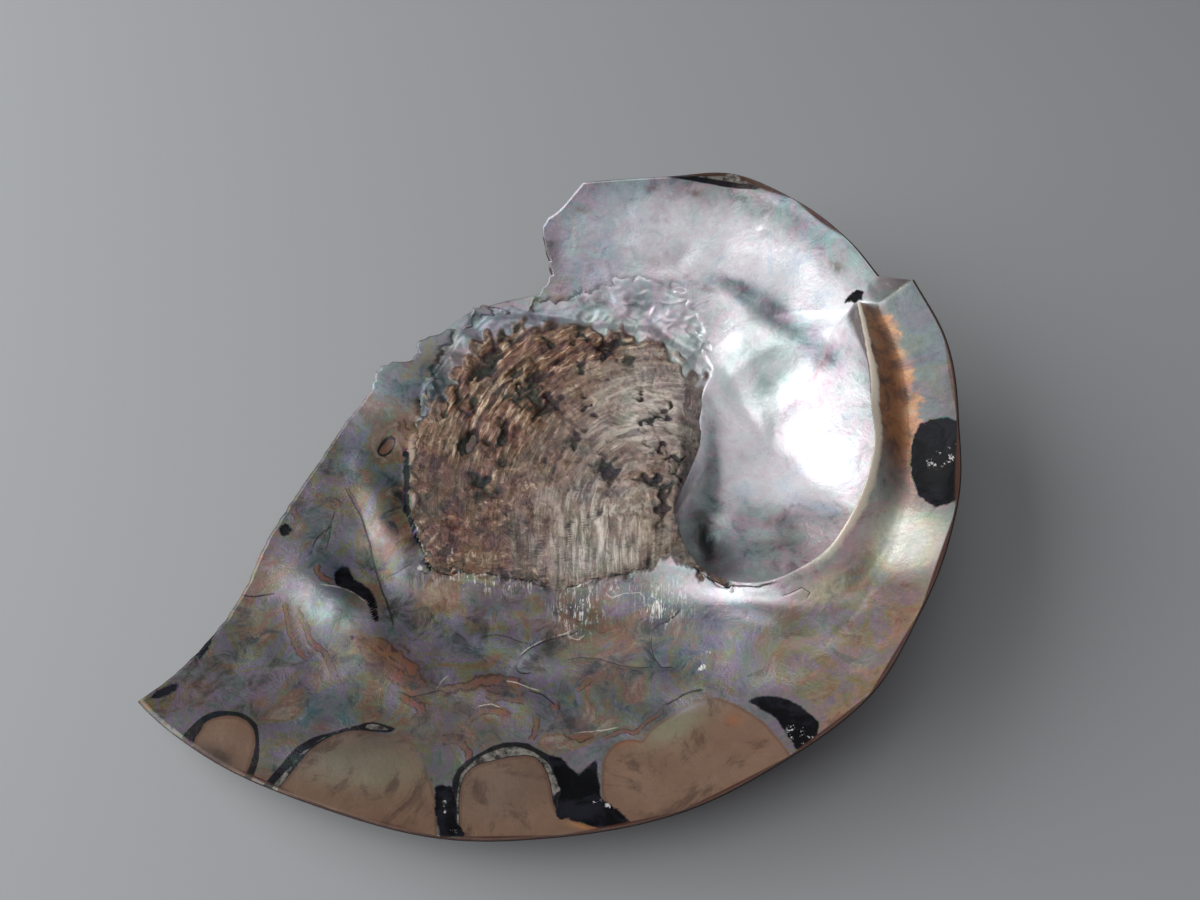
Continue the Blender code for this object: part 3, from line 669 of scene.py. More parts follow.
def stations(form, bearing):
    # for every bearing from the hollow: the whole edge, the crest, the foot of the hollow's wall, the lip
    hollow = np.array(form["hollow"], float)
    whole = np.array(form["wholeEdge"], float)
    wholeBearing = np.degrees(np.unwrap(np.arctan2(whole[:, 1] - hollow[1], whole[:, 0] - hollow[0])))
    edge = smoothCurve(np.column_stack([wholeBearing, whole]), bearing)
    crest = smoothCurve(form["crest"], bearing)
    changing = ("floorRound", "undercut", "wallDrop", "crestWidth", "bowlSag", "valleyDepth", "backPower")
    at = {name: smoothCurve(form[name], bearing)[:, None] for name in changing}
    outward = crest[:, :2] - hollow
    outward = outward / np.linalg.norm(outward, axis=1)[:, None]
    run = edge[:, :2] - crest[:, :2]
    reach = np.linalg.norm(run, axis=1)[:, None]
    run = run / reach
    far = np.linalg.norm(edge[:, :2] - hollow, axis=1)[:, None]
    steepness = np.arctan(at["backPower"] * (edge[:, 2:] - form["apexFloor"]) / far)
    shoulder = np.column_stack([crest[:, :2] + run * at["crestWidth"], crest[:, 2:]])
    foot = np.column_stack([crest[:, :2] + outward * at["undercut"], crest[:, 2:] - at["wallDrop"]])
    away = np.maximum(np.linalg.norm(foot[:, :2] - hollow, axis=1), 1)[:, None]
    longer = np.sqrt(1 + at["floorRound"] ** 2)
    slope = (foot[:, 2:] - form["hollowFloor"]) / away / longer / (longer - at["floorRound"])
    leaving = np.column_stack([outward, slope])
    arriving = np.column_stack([run, (edge[:, 2:] - shoulder[:, 2:] - 4 * at["bowlSag"]) / reach])
    leaving /= np.linalg.norm(leaving, axis=1)[:, None]
    arriving /= np.linalg.norm(arriving, axis=1)[:, None]
    span = np.linalg.norm(shoulder - foot, axis=1)[:, None]
    bulge = np.maximum(at["undercut"], 0)
    at.update(
        hollow=hollow, edge=edge, shoulder=shoulder, foot=foot, far=far,
        near=np.linalg.norm(shoulder[:, :2] - hollow, axis=1)[:, None],
        second=foot + leaving * (0.33 * span + 0.7 * bulge),
        third=shoulder - arriving * (0.33 * span + 0.9 * bulge),
        lip=np.column_stack([edge[:, :2] - run * form["edgeThickness"] * np.sin(steepness), edge[:, 2:]]),
        lipHeight=form["edgeThickness"] * np.cos(steepness),
    )
    return at


def insidePoints(form, at, growth):
    # growth -1 to 0 is a hyperbola up the hollow's floor, 0 to 1 a cubic up its wall and over the crest,
    # 1 to 2 a sagging line from the crest to the whole edge with a valley behind the crest
    hollow, foot, shoulder, lip = at["hollow"], at["foot"], at["shoulder"], at["lip"]
    q = np.clip(growth + 1, 0, 1)
    bend = at["floorRound"]
    rise = (np.sqrt(q * q + bend * bend) - bend) / (np.sqrt(1 + bend * bend) - bend)
    rise = form["hollowFloor"] + (foot[:, 2:] - form["hollowFloor"]) * rise
    floor = np.concatenate([hollow + (foot[:, :2] - hollow) * q, rise], axis=-1)
    q = np.clip(growth, 0, 1)
    wall = (1 - q)**3 * foot + 3 * (1 - q)**2 * q * at["second"]
    wall = wall + 3 * (1 - q) * q**2 * at["third"] + q**3 * shoulder
    q = np.clip(growth - 1, 0, 1)
    rise = shoulder[:, 2:] + (lip[:, 2:] - shoulder[:, 2:]) * q - 4 * at["bowlSag"] * q * (1 - q)
    rise = rise - at["valleyDepth"] * np.exp(-((q - form["valleyAt"]) / form["valleyWidth"]) ** 2)
    rise = np.where(growth > 1, rise, shoulder[:, 2:])
    bowl = np.concatenate([shoulder[:, :2] + (lip[:, :2] - shoulder[:, :2]) * q, rise], axis=-1)
    points = np.where(growth < 0, floor, np.where(growth < 1, wall, bowl))
    fade = ease((1 - q[..., 0]) * form["edgeFade"])
    points[..., 2] += fade * broadRelief(form, points[..., 0], points[..., 1])
    return points, fade


def broadRelief(form, x, y):
    # the scar's raised patch, and bells for the swellings and pits
    height = form["scarHeight"] * ease(0.5 - outlineDistance(x, y, form["scar"]) / form["scarLedge"])
    return height + gathered(x, y, form["swellings"])


def backRelief(form, x, y, part):
    # a groove along a spiral whose radius shrinks evenly with each turn, plus folds and ribs as sines
    away = np.hypot(x - form["apex"][0], y - form["apex"][1])
    bearing = np.degrees(np.arctan2(y - form["apex"][1], x - form["apex"][0]))
    turned = np.mod(bearing - form["seamBearing"], 360) / 360
    height = np.zeros(x.shape)
    for turn in range(2):
        wound = turned + turn
        radius = form["seamRadius"] * form["seamShrink"] ** wound
        width = form["seamWidth"] * radius / form["seamRadius"]
        there = ease((form["seamTurns"] - wound) * 4) * ease(wound * 4)
        depth = form["seamDepth"] * radius / form["seamRadius"]
        height = height + there * depth * np.exp(-((away - radius) / width) ** 2)
    middle = ease((part - 0.25) * 2.5) * ease((1 - part) * 8)
    folds = np.sin(2 * np.pi * form["foldCount"] * part)
    ribs = np.sin(np.radians(bearing) * form["ribCount"])
    lumps = ripples(x, y, 7, 21) * ease((part - 0.2) * 4)
    height = height + fineRelief["crustLump"] * lumps
    return height + middle * (form["foldHeight"] * folds + form["ribHeight"] * ribs)


def backRows(form, at, end):
    # rows from the edge to the apex: height as a power of the distance from the apex, clamped to the ground
    step = np.linspace(1, 0, form["backRows"] + 1)[:, None, None]
    part = step * np.linalg.norm(end - at["hollow"], axis=1)[:, None] / at["far"]
    plan = at["hollow"] + (end - at["hollow"]) * step
    top = at["edge"][:, 2:] - at["lipHeight"] - form["apexFloor"]
    relief = backRelief(form, plan[..., :1], plan[..., 1:], part)
    for x, y, radius, reachBelow in form["worn"]:
        relief = relief - reachBelow * bell(plan[..., :1], plan[..., 1:], x, y, radius, radius, 0)
    rise = form["apexFloor"] + top * part ** at["backPower"] + relief * ease((1 - part) * form["edgeFade"])
    return np.concatenate([plan, np.maximum(rise, 0)], axis=-1), part[..., 0]


def photographMarks(points):
    # distances to every kind of marking, measured in the photograph's plane; the scar's fibres are arches,
    # half circles above their centre and upright lines below it
    across, down = inPhotograph(points)
    x, y = across - muscleScar["fibreCentre"][0], down - muscleScar["fibreCentre"][1]
    below = np.maximum(y, 0)
    marks = {
        "across": across,
        "down": down,
        "along": np.arctan2(below - y, -x) * muscleScar["fibreTurn"] + np.sign(x) * below,
        "out": np.hypot(x, below - y),
        "lobe": nearestOutline(across, down, lobeOuter),
        "pale": nearestOutline(across, down, lobePale),
        "fill": nearestOutline(across, down, lobeFill),
        "black": nearestOutline(across, down, blackPatches),
        "scar": outlineDistance(across, down, muscleScar["outline"]),
    }
    for name, veins in (("dark", darkVeins), ("light", paleVeins), ("rusty", rustVeins)):
        marks[name], marks[name + "Strength"] = veinField(across, down, veins)
    wide = muscleScar["rim"] + gathered(across, down, muscleScar["widerRims"])
    marks["scarShare"] = ease(-(marks["scar"] + 2.5 * ripples(across, down, 16, 14)) / wide + 0.3)
    fibrous = outlineDistance(across, down, muscleScar["fibres"]) + 4 * ripples(across, down, 22, 16)
    marks["fibreShare"] = ease(0.5 - fibrous / 16)
    return marks


def fineHeights(points, fade, growth, marks):
    # ripples all over, listed waves, sunken veins and raised ribbons
    x, y = points[..., 0], points[..., 1]
    inBowl = ease(growth * 2 - 1)
    height = inBowl * fineRelief["bowlRipple"] * ripples(x, y, fineRelief["bowlRippleSize"], 1)
    height += (1 - inBowl) * fineRelief["hollowRipple"] * ripples(x, y, fineRelief["hollowRippleSize"], 2)
    height += gathered(marks["across"], marks["down"], pearlWaves)
    height -= fineRelief["veinDepth"] * marks["darkStrength"] * np.exp(-(marks["dark"] / 2) ** 2)
    height += fineRelief["ribbonHeight"] * marks["rustyStrength"] * np.exp(-(marks["rusty"] / 1.4) ** 4)
    return height * fade


def paint(colours, base, zones, marks):
    # soft ovals of colour laid in turn over an even one
    tint = np.zeros((*marks["across"].shape, 3)) + linear(colours[base])
    for name, *place, strength in zones:
        amount = 1.4 * strength * bell(marks["across"], marks["down"], *place)
        share = np.clip(amount, 0, strength)[..., None]
        tint = tint * (1 - share) + linear(colours[name]) * share
    return tint


def stains(places, marks):
    # the strongest of several soft ovals
    amount = np.zeros(marks["across"].shape)
    for *place, strength in places:
        amount = np.maximum(amount, strength * bell(marks["across"], marks["down"], *place))
    return amount


def linear(colour):
    # screen colour 0 to 255 as light
    value = np.array(colour, float) / 255
    return np.where(value <= 0.04045, value / 12.92, ((value + 0.055) / 1.055) ** 2.4)


def closedMesh(name, points, attributes, materialRows):
    # a grid of rows whose first and last are single points, closed round its columns: quads between
    # neighbouring rows and columns, and a fan of triangles at each pole
    rows, columns = points.shape[:2]
    count = (rows - 2) * columns
    row, column = np.meshgrid(np.arange(rows - 3), np.arange(columns), indexing="ij")
    following = (column + 1) % columns
    quads = np.stack([
        row * columns + column, (row + 1) * columns + column, (row + 1) * columns + following,
        row * columns + following,
    ], axis=-1)
    column, following, last = column[0], following[0], (rows - 3) * columns
    firstFan = np.column_stack([np.full(columns, count), column, following])
    lastFan = np.column_stack([np.full(columns, count + 1), last + following, last + column])
    loops = np.concatenate([quads.ravel(), firstFan.ravel(), lastFan.ravel()])
    sizes = np.concatenate([np.full(quads.size // 4, 4), np.full(2 * columns, 3)])
    slots = np.concatenate([
        np.repeat(materialRows[1:-2], columns), np.repeat(materialRows[0], columns),
        np.repeat(materialRows[-1], columns),
    ])

    def flat(grid):
        poles = np.stack([grid[0, 0], grid[-1, 0]]).reshape(2, -1)
        return np.concatenate([grid[1:-1].reshape(count, -1), poles])

    mesh = bpy.data.meshes.new(name)
    mesh.vertices.add(count + 2)
    mesh.vertices.foreach_set("co", (flat(points) * mm).ravel())
    mesh.loops.add(len(loops))
    mesh.loops.foreach_set("vertex_index", loops.astype(np.int32))
    mesh.polygons.add(len(sizes))
    mesh.polygons.foreach_set("loop_start", np.concatenate([[0], np.cumsum(sizes)[:-1]]).astype(np.int32))
    mesh.polygons.foreach_set("material_index", slots.astype(np.int32))
    mesh.update(calc_edges=True)
    for key, value in attributes.items():
        kind, field = ("FLOAT", "value") if value.ndim == 2 else ("FLOAT_VECTOR", "vector")
        data = mesh.attributes.new(key, kind, "POINT").data
        data.foreach_set(field, flat(value).ravel().astype(np.float32))
    mesh.shade_smooth()
    mesh.validate()
    piece = bpy.data.objects.new(name, mesh)
    bpy.context.scene.collection.objects.link(piece)
    return piece


def curveBetween(start, leaving, stop, arriving, t):
    # the cubic of t from start to stop that leaves and arrives in the given directions
    bent = (2 * t**3 - 3 * t**2 + 1) * start + (t**3 - 2 * t**2 + t) * leaving
    return bent + (3 * t**2 - 2 * t**3) * stop + (t**3 - t**2) * arriving


def evenFloor(form, points, growth):
    # on both sides of the seam the hollow's floor follows cubics between columns further off, so that it has
    # no step there; up the wall they fade out
    columns = np.r_[-form["seamReach"]:0, 0:form["seamReach"]]
    side = points[:, columns]
    foot = side[form["hollowRows"], :, :2] - form["hollow"]
    angle = np.unwrap(np.arctan2(foot[:, 1], foot[:, 0]))
    t = ((angle - angle[0]) / (angle[-1] - angle[0]))[:, None]
    leaving = (side[:, 1:2] - side[:, :1]) / t[1]
    arriving = (side[:, -1:] - side[:, -2:-1]) / (1 - t[-2])
    even = curveBetween(side[:, :1], leaving, side[:, -1:], arriving, t)
    points[:, columns] += (even - side) * (1 - ease(growth[:, columns] / form["seamFade"]))


def fillSeam(grid, extra, smoothRows=0):
    # extra columns between the last and the first: straight lines, and in the first rows a cubic that keeps
    # the directions on both sides
    t = np.linspace(0, 1, extra + 2)[1:-1].reshape((1, -1) + (1,) * (grid.ndim - 2))
    last, first = grid[:, -1:], grid[:, :1]
    filled = last + (first - last) * t
    gap = np.linalg.norm(first - last, axis=-1, keepdims=True)
    leaving = last - grid[:, -4:-3]
    arriving = grid[:, 3:4] - first
    leaving = leaving * gap / np.maximum(np.linalg.norm(leaving, axis=-1, keepdims=True), 1e-6)
    arriving = arriving * gap / np.maximum(np.linalg.norm(arriving, axis=-1, keepdims=True), 1e-6)
    filled[:smoothRows] = curveBetween(last, leaving, first, arriving, t)[:smoothRows]
    return np.concatenate([grid, filled], axis=1)


def buildShell(form):
    # the whole shell as columns round the hollow's centre: inside rows out to the edge, then back rows
    ends, isBroken = columnEnds(form)
    hollow = np.array(form["hollow"], float)
    bearing = np.degrees(np.unwrap(np.arctan2(ends[:, 1] - hollow[1], ends[:, 0] - hollow[0])))
    at = stations(form, bearing)
    cut = (np.linalg.norm(ends - hollow, axis=1)[:, None] - at["near"]) / (at["far"] - at["near"])
    cut = np.where(isBroken[:, None], cut, 1)
    steps = [np.linspace(-1, 0, form["hollowRows"] + 1), np.linspace(0, 1, form["wallRows"] + 1)[1:]]
    growth = np.broadcast_to(np.concatenate(steps)[:, None, None], (sum(map(len, steps)), len(ends), 1))
    bowl = 1 + np.linspace(0, 1, form["bowlRows"] + 1)[1:, None, None] * cut
    growth = np.concatenate([growth, bowl])
    inside, fade = insidePoints(form, at, growth)
    evenFloor(form, inside, growth)
    growth = growth[..., 0]
    marks = photographMarks(inside)
    inside[..., 2] += fineHeights(inside, fade, growth, marks)
    inside[..., 2] -= muscleScar["bed"] * ease(marks["scarShare"] * 2 - 1) * ease(growth * 8 - 4.2)
    end = np.where(isBroken[:, None], inside[-1][:, :2], at["edge"][:, :2])
    back, part = backRows(form, at, end)
    points = np.concatenate([inside, back])
    low, high = points.min(axis=(0, 1)), points.max(axis=(0, 1))
    middle = np.array([(low[0] + high[0]) / 2, (low[1] + high[1]) / 2, 0])
    print("shell surface:", points.shape[0], "rows of", points.shape[1], "points")

    x, y = inside[..., 0], inside[..., 1]
    grown = [form["wholeEdge"][:form["breakFrom"] + 1], form["wholeEdge"][form["breakTo"]:]]
    marks["edge"] = np.min([np.abs(sideDistance(x, y, line)[0]) for line in grown], axis=0)
    marks["break"] = np.abs(sideDistance(x, y, form["breakLine"])[0])
    grows = {name: ease((bearing - start) / width) for name, (start, width) in pearlSpans.items()}

    def joined(front, behind=0.0):
        # one attribute: its values on the inside rows, and one value on the back rows
        return np.concatenate([front, np.zeros(back.shape[:2] + front.shape[2:]) + behind])

    attributes = {
        "tint": joined(paint(pearlColours, "base", pearlZones, marks), 0.3),
        "filling": joined(paint(pearlColours, "clay", lobeTints, marks), 0.3),
        "fibre": joined(np.stack([marks["along"], marks["out"], 0 * x], axis=-1)),
        "growth": np.concatenate([growth, part]),
        "rust": joined(stains(rustStains, marks)),
        "fleck": joined(stains([(*place, 1.0) for place in whiteFlecks], marks)),
        "lace": joined(stains(laceZones, marks)),
        "soften": joined(stains(softEdges, marks)),
        "shelf": joined(grows["shelf"] * grows["lipEnd"] + 0 * x),
        "valley": joined(grows["valley"] * grows["lipEnd"] + 0 * x),
        "mottle": joined(ease(growth * 4 - 4) * grows["mottle"] * (1 - 0.7 * grows["plainer"])),
        "breakAway": joined(marks["break"], np.where(isBroken, 0, 99)),
        "edgeAway": joined(marks["edge"]),
        "rim": joined(0 * x, 1),
    }
    for key in ("lobe", "pale", "fill", "black", "dark", "light", "rusty"):
        attributes[key + "Away"] = joined(marks[key], 99)
    for key in ("dark", "light", "rusty"):
        attributes[key + "Strength"] = joined(marks[key + "Strength"])
    materialRows = np.zeros(points.shape[0], int)
    materialRows[inside.shape[0] - 1:] = 1
    extra = form["seamColumns"]
    points = fillSeam(points, extra, form["hollowRows"] + 1)
    attributes = {key: fillSeam(value, extra) for key, value in attributes.items()}
    return closedMesh("abalone_shell", points - middle, attributes, materialRows), middle


def scarHeights(marks, x, y):
    # fibres are creases of stretched ripples, chunks are steeper ones at the upper left, bands and ledges are
    # sawtooths across and along the fibres at the right, crumbs are small creases, and pits are bells pulled
    # about by ripples; beyond the fibres are soft clouds; the last two values are without the lumps
    look = muscleScar
    across = marks["across"] + 3 * ripples(marks["across"], marks["down"], 17, 33)
    down = marks["down"] + 3 * ripples(marks["across"], marks["down"], 17, 34)
    out = marks["out"] + 5 * ripples(across, down, 90, 31)
    along = marks["along"]
    silky = 0.07 + 0.93 * np.clip(gathered(across, down, look["silkyPlaces"]), 0, 1)
    fibre = 1 - np.abs(ripples(along * 0.12, out, 14, 6))
    strand = 1 - np.abs(ripples(along * 0.12, out, 4.5, 7))
    rugged = 0.5 + 0.5 * ripples(across, down, 40, 35)
    chunky = gathered(across, down, look["chunkyPlaces"])
    chunky = np.clip(chunky * (1 + 0.25 * ripples(across, down, 30, 36)), 0, 1)
    chunk = 1 - np.abs(ripples(along * 0.45, out, 22, 11))
    crumb = 1 - np.abs(ripples(across, down, 8, 15))
    turn = along / 26 + 0.9 * ripples(along * 0.4, out, 34, 12)
    ledge = turn - np.floor(turn)
    turn = out / 7 + 1.1 * ripples(along, out, 19, 18)
    band = turn - np.floor(turn)
    stepped = np.clip(gathered(across, down, look["steppedPlaces"]), 0, 1)
    detail = silky * (look["fibre"] * fibre + look["strand"] * strand) * (0.5 + rugged)
    detail += look["chunk"] * chunky * chunk + stepped * (look["ledge"] * (1 - ledge) + look["band"] * band)
    detail += look["crumb"] * (0.6 + chunky) * crumb
    detail += look["knob"] * (1 - silky) * ripples(across, down, 20, 19)
    for place in scarPits:
        detail -= look["pitDepth"] * bell(across, down, *place)
    share = marks["fibreShare"]
    cloud = look["cloud"] * (1.2 - np.abs(ripples(across, down, 46, 41)))
    cloud += 0.02 * ripples(across, down, 14, 42)
    return detail * share + (1 - share) * cloud + look["lump"] * ripples(x, y, 11, 8), detail, chunky


def scarReach(form, bearing):
    # growths to try along each bearing, and which of them lie on the scar or close round it
    trial = np.linspace(*muscleScar["growthTried"])
    grid = trial[:, None, None] + np.zeros((len(bearing), 1))
    places = inPhotograph(insidePoints(form, stations(form, bearing), grid)[0])
    return trial, outlineDistance(*places, muscleScar["outline"]) < muscleScar["margin"]


def buildScar(form, middle):
    # a thin closed pad that follows the bowl: over each bearing it runs across the scar and back below
    look = muscleScar
    bearing = np.linspace(*look["bearings"], look["columns"])
    used = bearing[scarReach(form, bearing)[1].any(axis=0)]
    bearing = np.linspace(used[0], used[-1], look["columns"])
    trial, within = scarReach(form, bearing)
    at = stations(form, bearing)
    start = trial[np.argmax(within, axis=0)]
    stop = trial[len(trial) - 1 - np.argmax(within[::-1], axis=0)]
    spread = np.hanning(17) / np.hanning(17).sum()
    start = np.convolve(np.pad(start, 8, mode="edge"), spread, mode="valid")[:, None]
    stop = np.convolve(np.pad(stop, 8, mode="edge"), spread, mode="valid")[:, None]
    top = np.linspace(0, 1, look["topRows"])[:, None, None]
    below = np.linspace(1, 0, look["bottomRows"] + 2)[1:-1, None, None]
    growth = start + (stop - start) * np.concatenate([top, below])
    points, fade = insidePoints(form, at, growth)
    marks = photographMarks(points)
    x, y = points[..., 0], points[..., 1]
    mask = marks["scarShare"]
    relief, detail, chunky = scarHeights(marks, x, y)
    isTop = np.concatenate([np.ones(look["topRows"]), np.zeros(look["bottomRows"])])[:, None]
    height = mask * (relief - look["level"]) - look["sunk"] * (1 - mask)
    points[..., 2] += fineHeights(points, fade, growth[..., 0], marks) * (1 - 0.7 * mask)
    points[..., 2] += np.where(isTop > 0, height, -look["thickness"] - look["sunk"])
    share = (ease(mask * 1.5) * marks["fibreShare"])[..., None]
    around = paint(pearlColours, "base", pearlZones, marks)
    own = paint(scarColours, "base", scarZones, marks)
    attributes = {
        "tint": around * (1 - share) + own * share,
        "fibre": np.stack([marks["along"], marks["out"], 0 * x], axis=-1),
        "relief": detail,
        "stain": stains([zone[1:] for zone in scarZones if zone[0] == "rust"], marks),
        "share": share[..., 0],
        "chunky": chunky,
        "silky": stains(look["silkyPlaces"], marks),
    }
    grid = np.swapaxes(points - middle, 0, 1)[:, ::-1]
    grid[0] = grid[0].mean(axis=0)
    grid[-1] = grid[-1].mean(axis=0)
    attributes = {key: np.swapaxes(value, 0, 1)[:, ::-1] for key, value in attributes.items()}
    print("scar surface:", grid.shape[0], "rows of", grid.shape[1], "points")
    return closedMesh("muscle_scar", grid, attributes, np.zeros(grid.shape[0], int))


# Material helpers: most add one node and return the socket that it gives; colours are 0 to 255
def setInput(tree, socket, value):
    if isinstance(value, bpy.types.NodeSocket):
        tree.links.new(value, socket)
    elif isinstance(value, tuple) and socket.type == "RGBA":
        socket.default_value = (*linear(value), 1)
    elif value is not None:
        socket.default_value = value


def attribute(tree, name, kind="Fac"):
    node = tree.nodes.new("ShaderNodeAttribute")
    node.attribute_name = name
    return node.outputs[kind]


def calc(tree, operation, first, second=None, third=None):
    node = tree.nodes.new("ShaderNodeMath")
    node.operation = operation
    for socket, value in zip(node.inputs, (first, second, third)):
        setInput(tree, socket, value)
    return node.outputs[0]


def times(tree, value, *others):
    for other in others:
        value = calc(tree, "MULTIPLY", value, other)
    return value


def noise(tree, place, scale, detail=3.0, rough=0.55, bend=0.0):
    node = tree.nodes.new("ShaderNodeTexNoise")
    setInput(tree, node.inputs["Vector"], place)
    node.inputs["Scale"].default_value = scale
    node.inputs["Detail"].default_value = detail
    node.inputs["Roughness"].default_value = rough
    node.inputs["Distortion"].default_value = bend
    return node.outputs["Fac"]


def between(tree, value, low, high, toLow=0.0, toHigh=1.0):
    node = tree.nodes.new("ShaderNodeMapRange")
    node.interpolation_type = "SMOOTHSTEP"
    names = ("Value", "From Min", "From Max", "To Min", "To Max")
    for name, given in zip(names, (value, low, high, toLow, toHigh)):
        setInput(tree, node.inputs[name], given)
    return node.outputs["Result"]


def mixed(tree, factor, first, second, blend="MIX"):
    node = tree.nodes.new("ShaderNodeMix")
    node.data_type = "RGBA"
    node.blend_type = blend
    for socket, value in zip((node.inputs[0], node.inputs[6], node.inputs[7]), (factor, first, second)):
        setInput(tree, socket, value)
    return node.outputs[2]


def ramp(tree, factor, stops):
    node = tree.nodes.new("ShaderNodeValToRGB")
    setInput(tree, node.inputs[0], factor)
    elements = node.color_ramp.elements
    while len(elements) < len(stops):
        elements.new(0.5)
    for element, (position, colour) in zip(elements, stops):
        element.position = position
        element.color = (*linear(colour), 1)
    return node.outputs["Color"]


def scaled(tree, vector, factors):
    node = tree.nodes.new("ShaderNodeVectorMath")
    node.operation = "MULTIPLY"
    setInput(tree, node.inputs[0], vector)
    node.inputs[1].default_value = factors
    return node.outputs[0]


def raised(tree, height, strength, distance, normal=None):
    node = tree.nodes.new("ShaderNodeBump")
    node.inputs["Strength"].default_value = strength
    node.inputs["Distance"].default_value = distance
    setInput(tree, node.inputs["Height"], height)
    setInput(tree, node.inputs["Normal"], normal)
    return node.outputs["Normal"]


def startMaterial(name):
    material = bpy.data.materials.new(name)
    material.use_nodes = True
    tree = material.node_tree
    shader = tree.nodes["Principled BSDF"]
    place = tree.nodes.new("ShaderNodeTexCoord").outputs["Object"]
    return material, tree, shader, place


motherOfPearl = {
    "filmIor": 1.45,
    "film": (280, 620),
    "metal": 0.28,
    "coat": 0.08,
    "coatRoughness": 0.2,
    "rainbow": 0.45,
    "rust": (98, 62, 42),
    "rustRim": (52, 36, 32),
    "ink": (20, 20, 24),
    "rimLine": (64, 38, 30),
}


def pearlColour(tree, place):
    # the tint with rainbow clouds, milky streaks, fine growth bands and rust over it
    look = motherOfPearl
    tint = attribute(tree, "tint", "Color")
    cloud = noise(tree, place, 85, 5, 0.62, 1.2)
    rainbow = ramp(tree, cloud, [
        (0.28, (110, 124, 160)), (0.38, (128, 128, 128)), (0.44, (168, 120, 136)), (0.50, (128, 128, 128)),
        (0.56, (104, 148, 128)), (0.63, (128, 128, 128)), (0.72, (158, 140, 96)),
    ])
    colour = mixed(tree, look["rainbow"], tint, rainbow, "OVERLAY")
    pastel = ramp(tree, noise(tree, place, 48, 4, 0.6, 1.4), [
        (0.36, (196, 222, 214)), (0.44, (238, 238, 242)), (0.50, (236, 208, 220)), (0.56, (240, 240, 240)),
        (0.64, (200, 216, 236)),
    ])
    colour = mixed(tree, 0.35, colour, pastel, "MULTIPLY")
    patches = noise(tree, place, 150, 6, 0.7, 0.6)
    colour = mixed(tree, between(tree, patches, 0.50, 0.68, 0, 0.6), colour, (235, 235, 232), "SOFT_LIGHT")
    colour = mixed(tree, between(tree, patches, 0.50, 0.30, 0, 0.75), colour, (50, 50, 54), "SOFT_LIGHT")
    hue = ramp(tree, noise(tree, place, 62, 5, 0.65, 1.5), [
        (0.32, (48, 78, 84)), (0.40, (96, 98, 98)), (0.46, (98, 82, 110)), (0.52, (92, 98, 66)),
        (0.58, (108, 68, 46)), (0.68, (132, 118, 100)),
    ])
    there = times(tree, between(tree, patches, 0.38, 0.56), attribute(tree, "mottle"))
    colour = mixed(tree, times(tree, there, 0.7), colour, hue)
    speckle = noise(tree, place, 900, 3, 0.8)
    colour = mixed(tree, between(tree, speckle, 0.55, 0.75, 0, 0.5), colour, (240, 236, 228), "SOFT_LIGHT")
    colour = mixed(tree, between(tree, speckle, 0.45, 0.25, 0, 0.1), colour, (40, 36, 34), "SOFT_LIGHT")
    grown = times(tree, attribute(tree, "growth"), 30.0)
    bands = calc(tree, "SINE", calc(tree, "MULTIPLY_ADD", cloud, 120.0, grown))
    colour = mixed(tree, between(tree, bands, 0.2, 1.0, 0, 0.18), colour, (190, 180, 178), "SOFT_LIGHT")
    grain = noise(tree, place, 480, 4, 0.7)
    rust = times(tree, attribute(tree, "rust"), between(tree, grain, 0.30, 0.55))
    return mixed(tree, times(tree, rust, 0.9), colour, look["rust"]), grain, patches, cloud


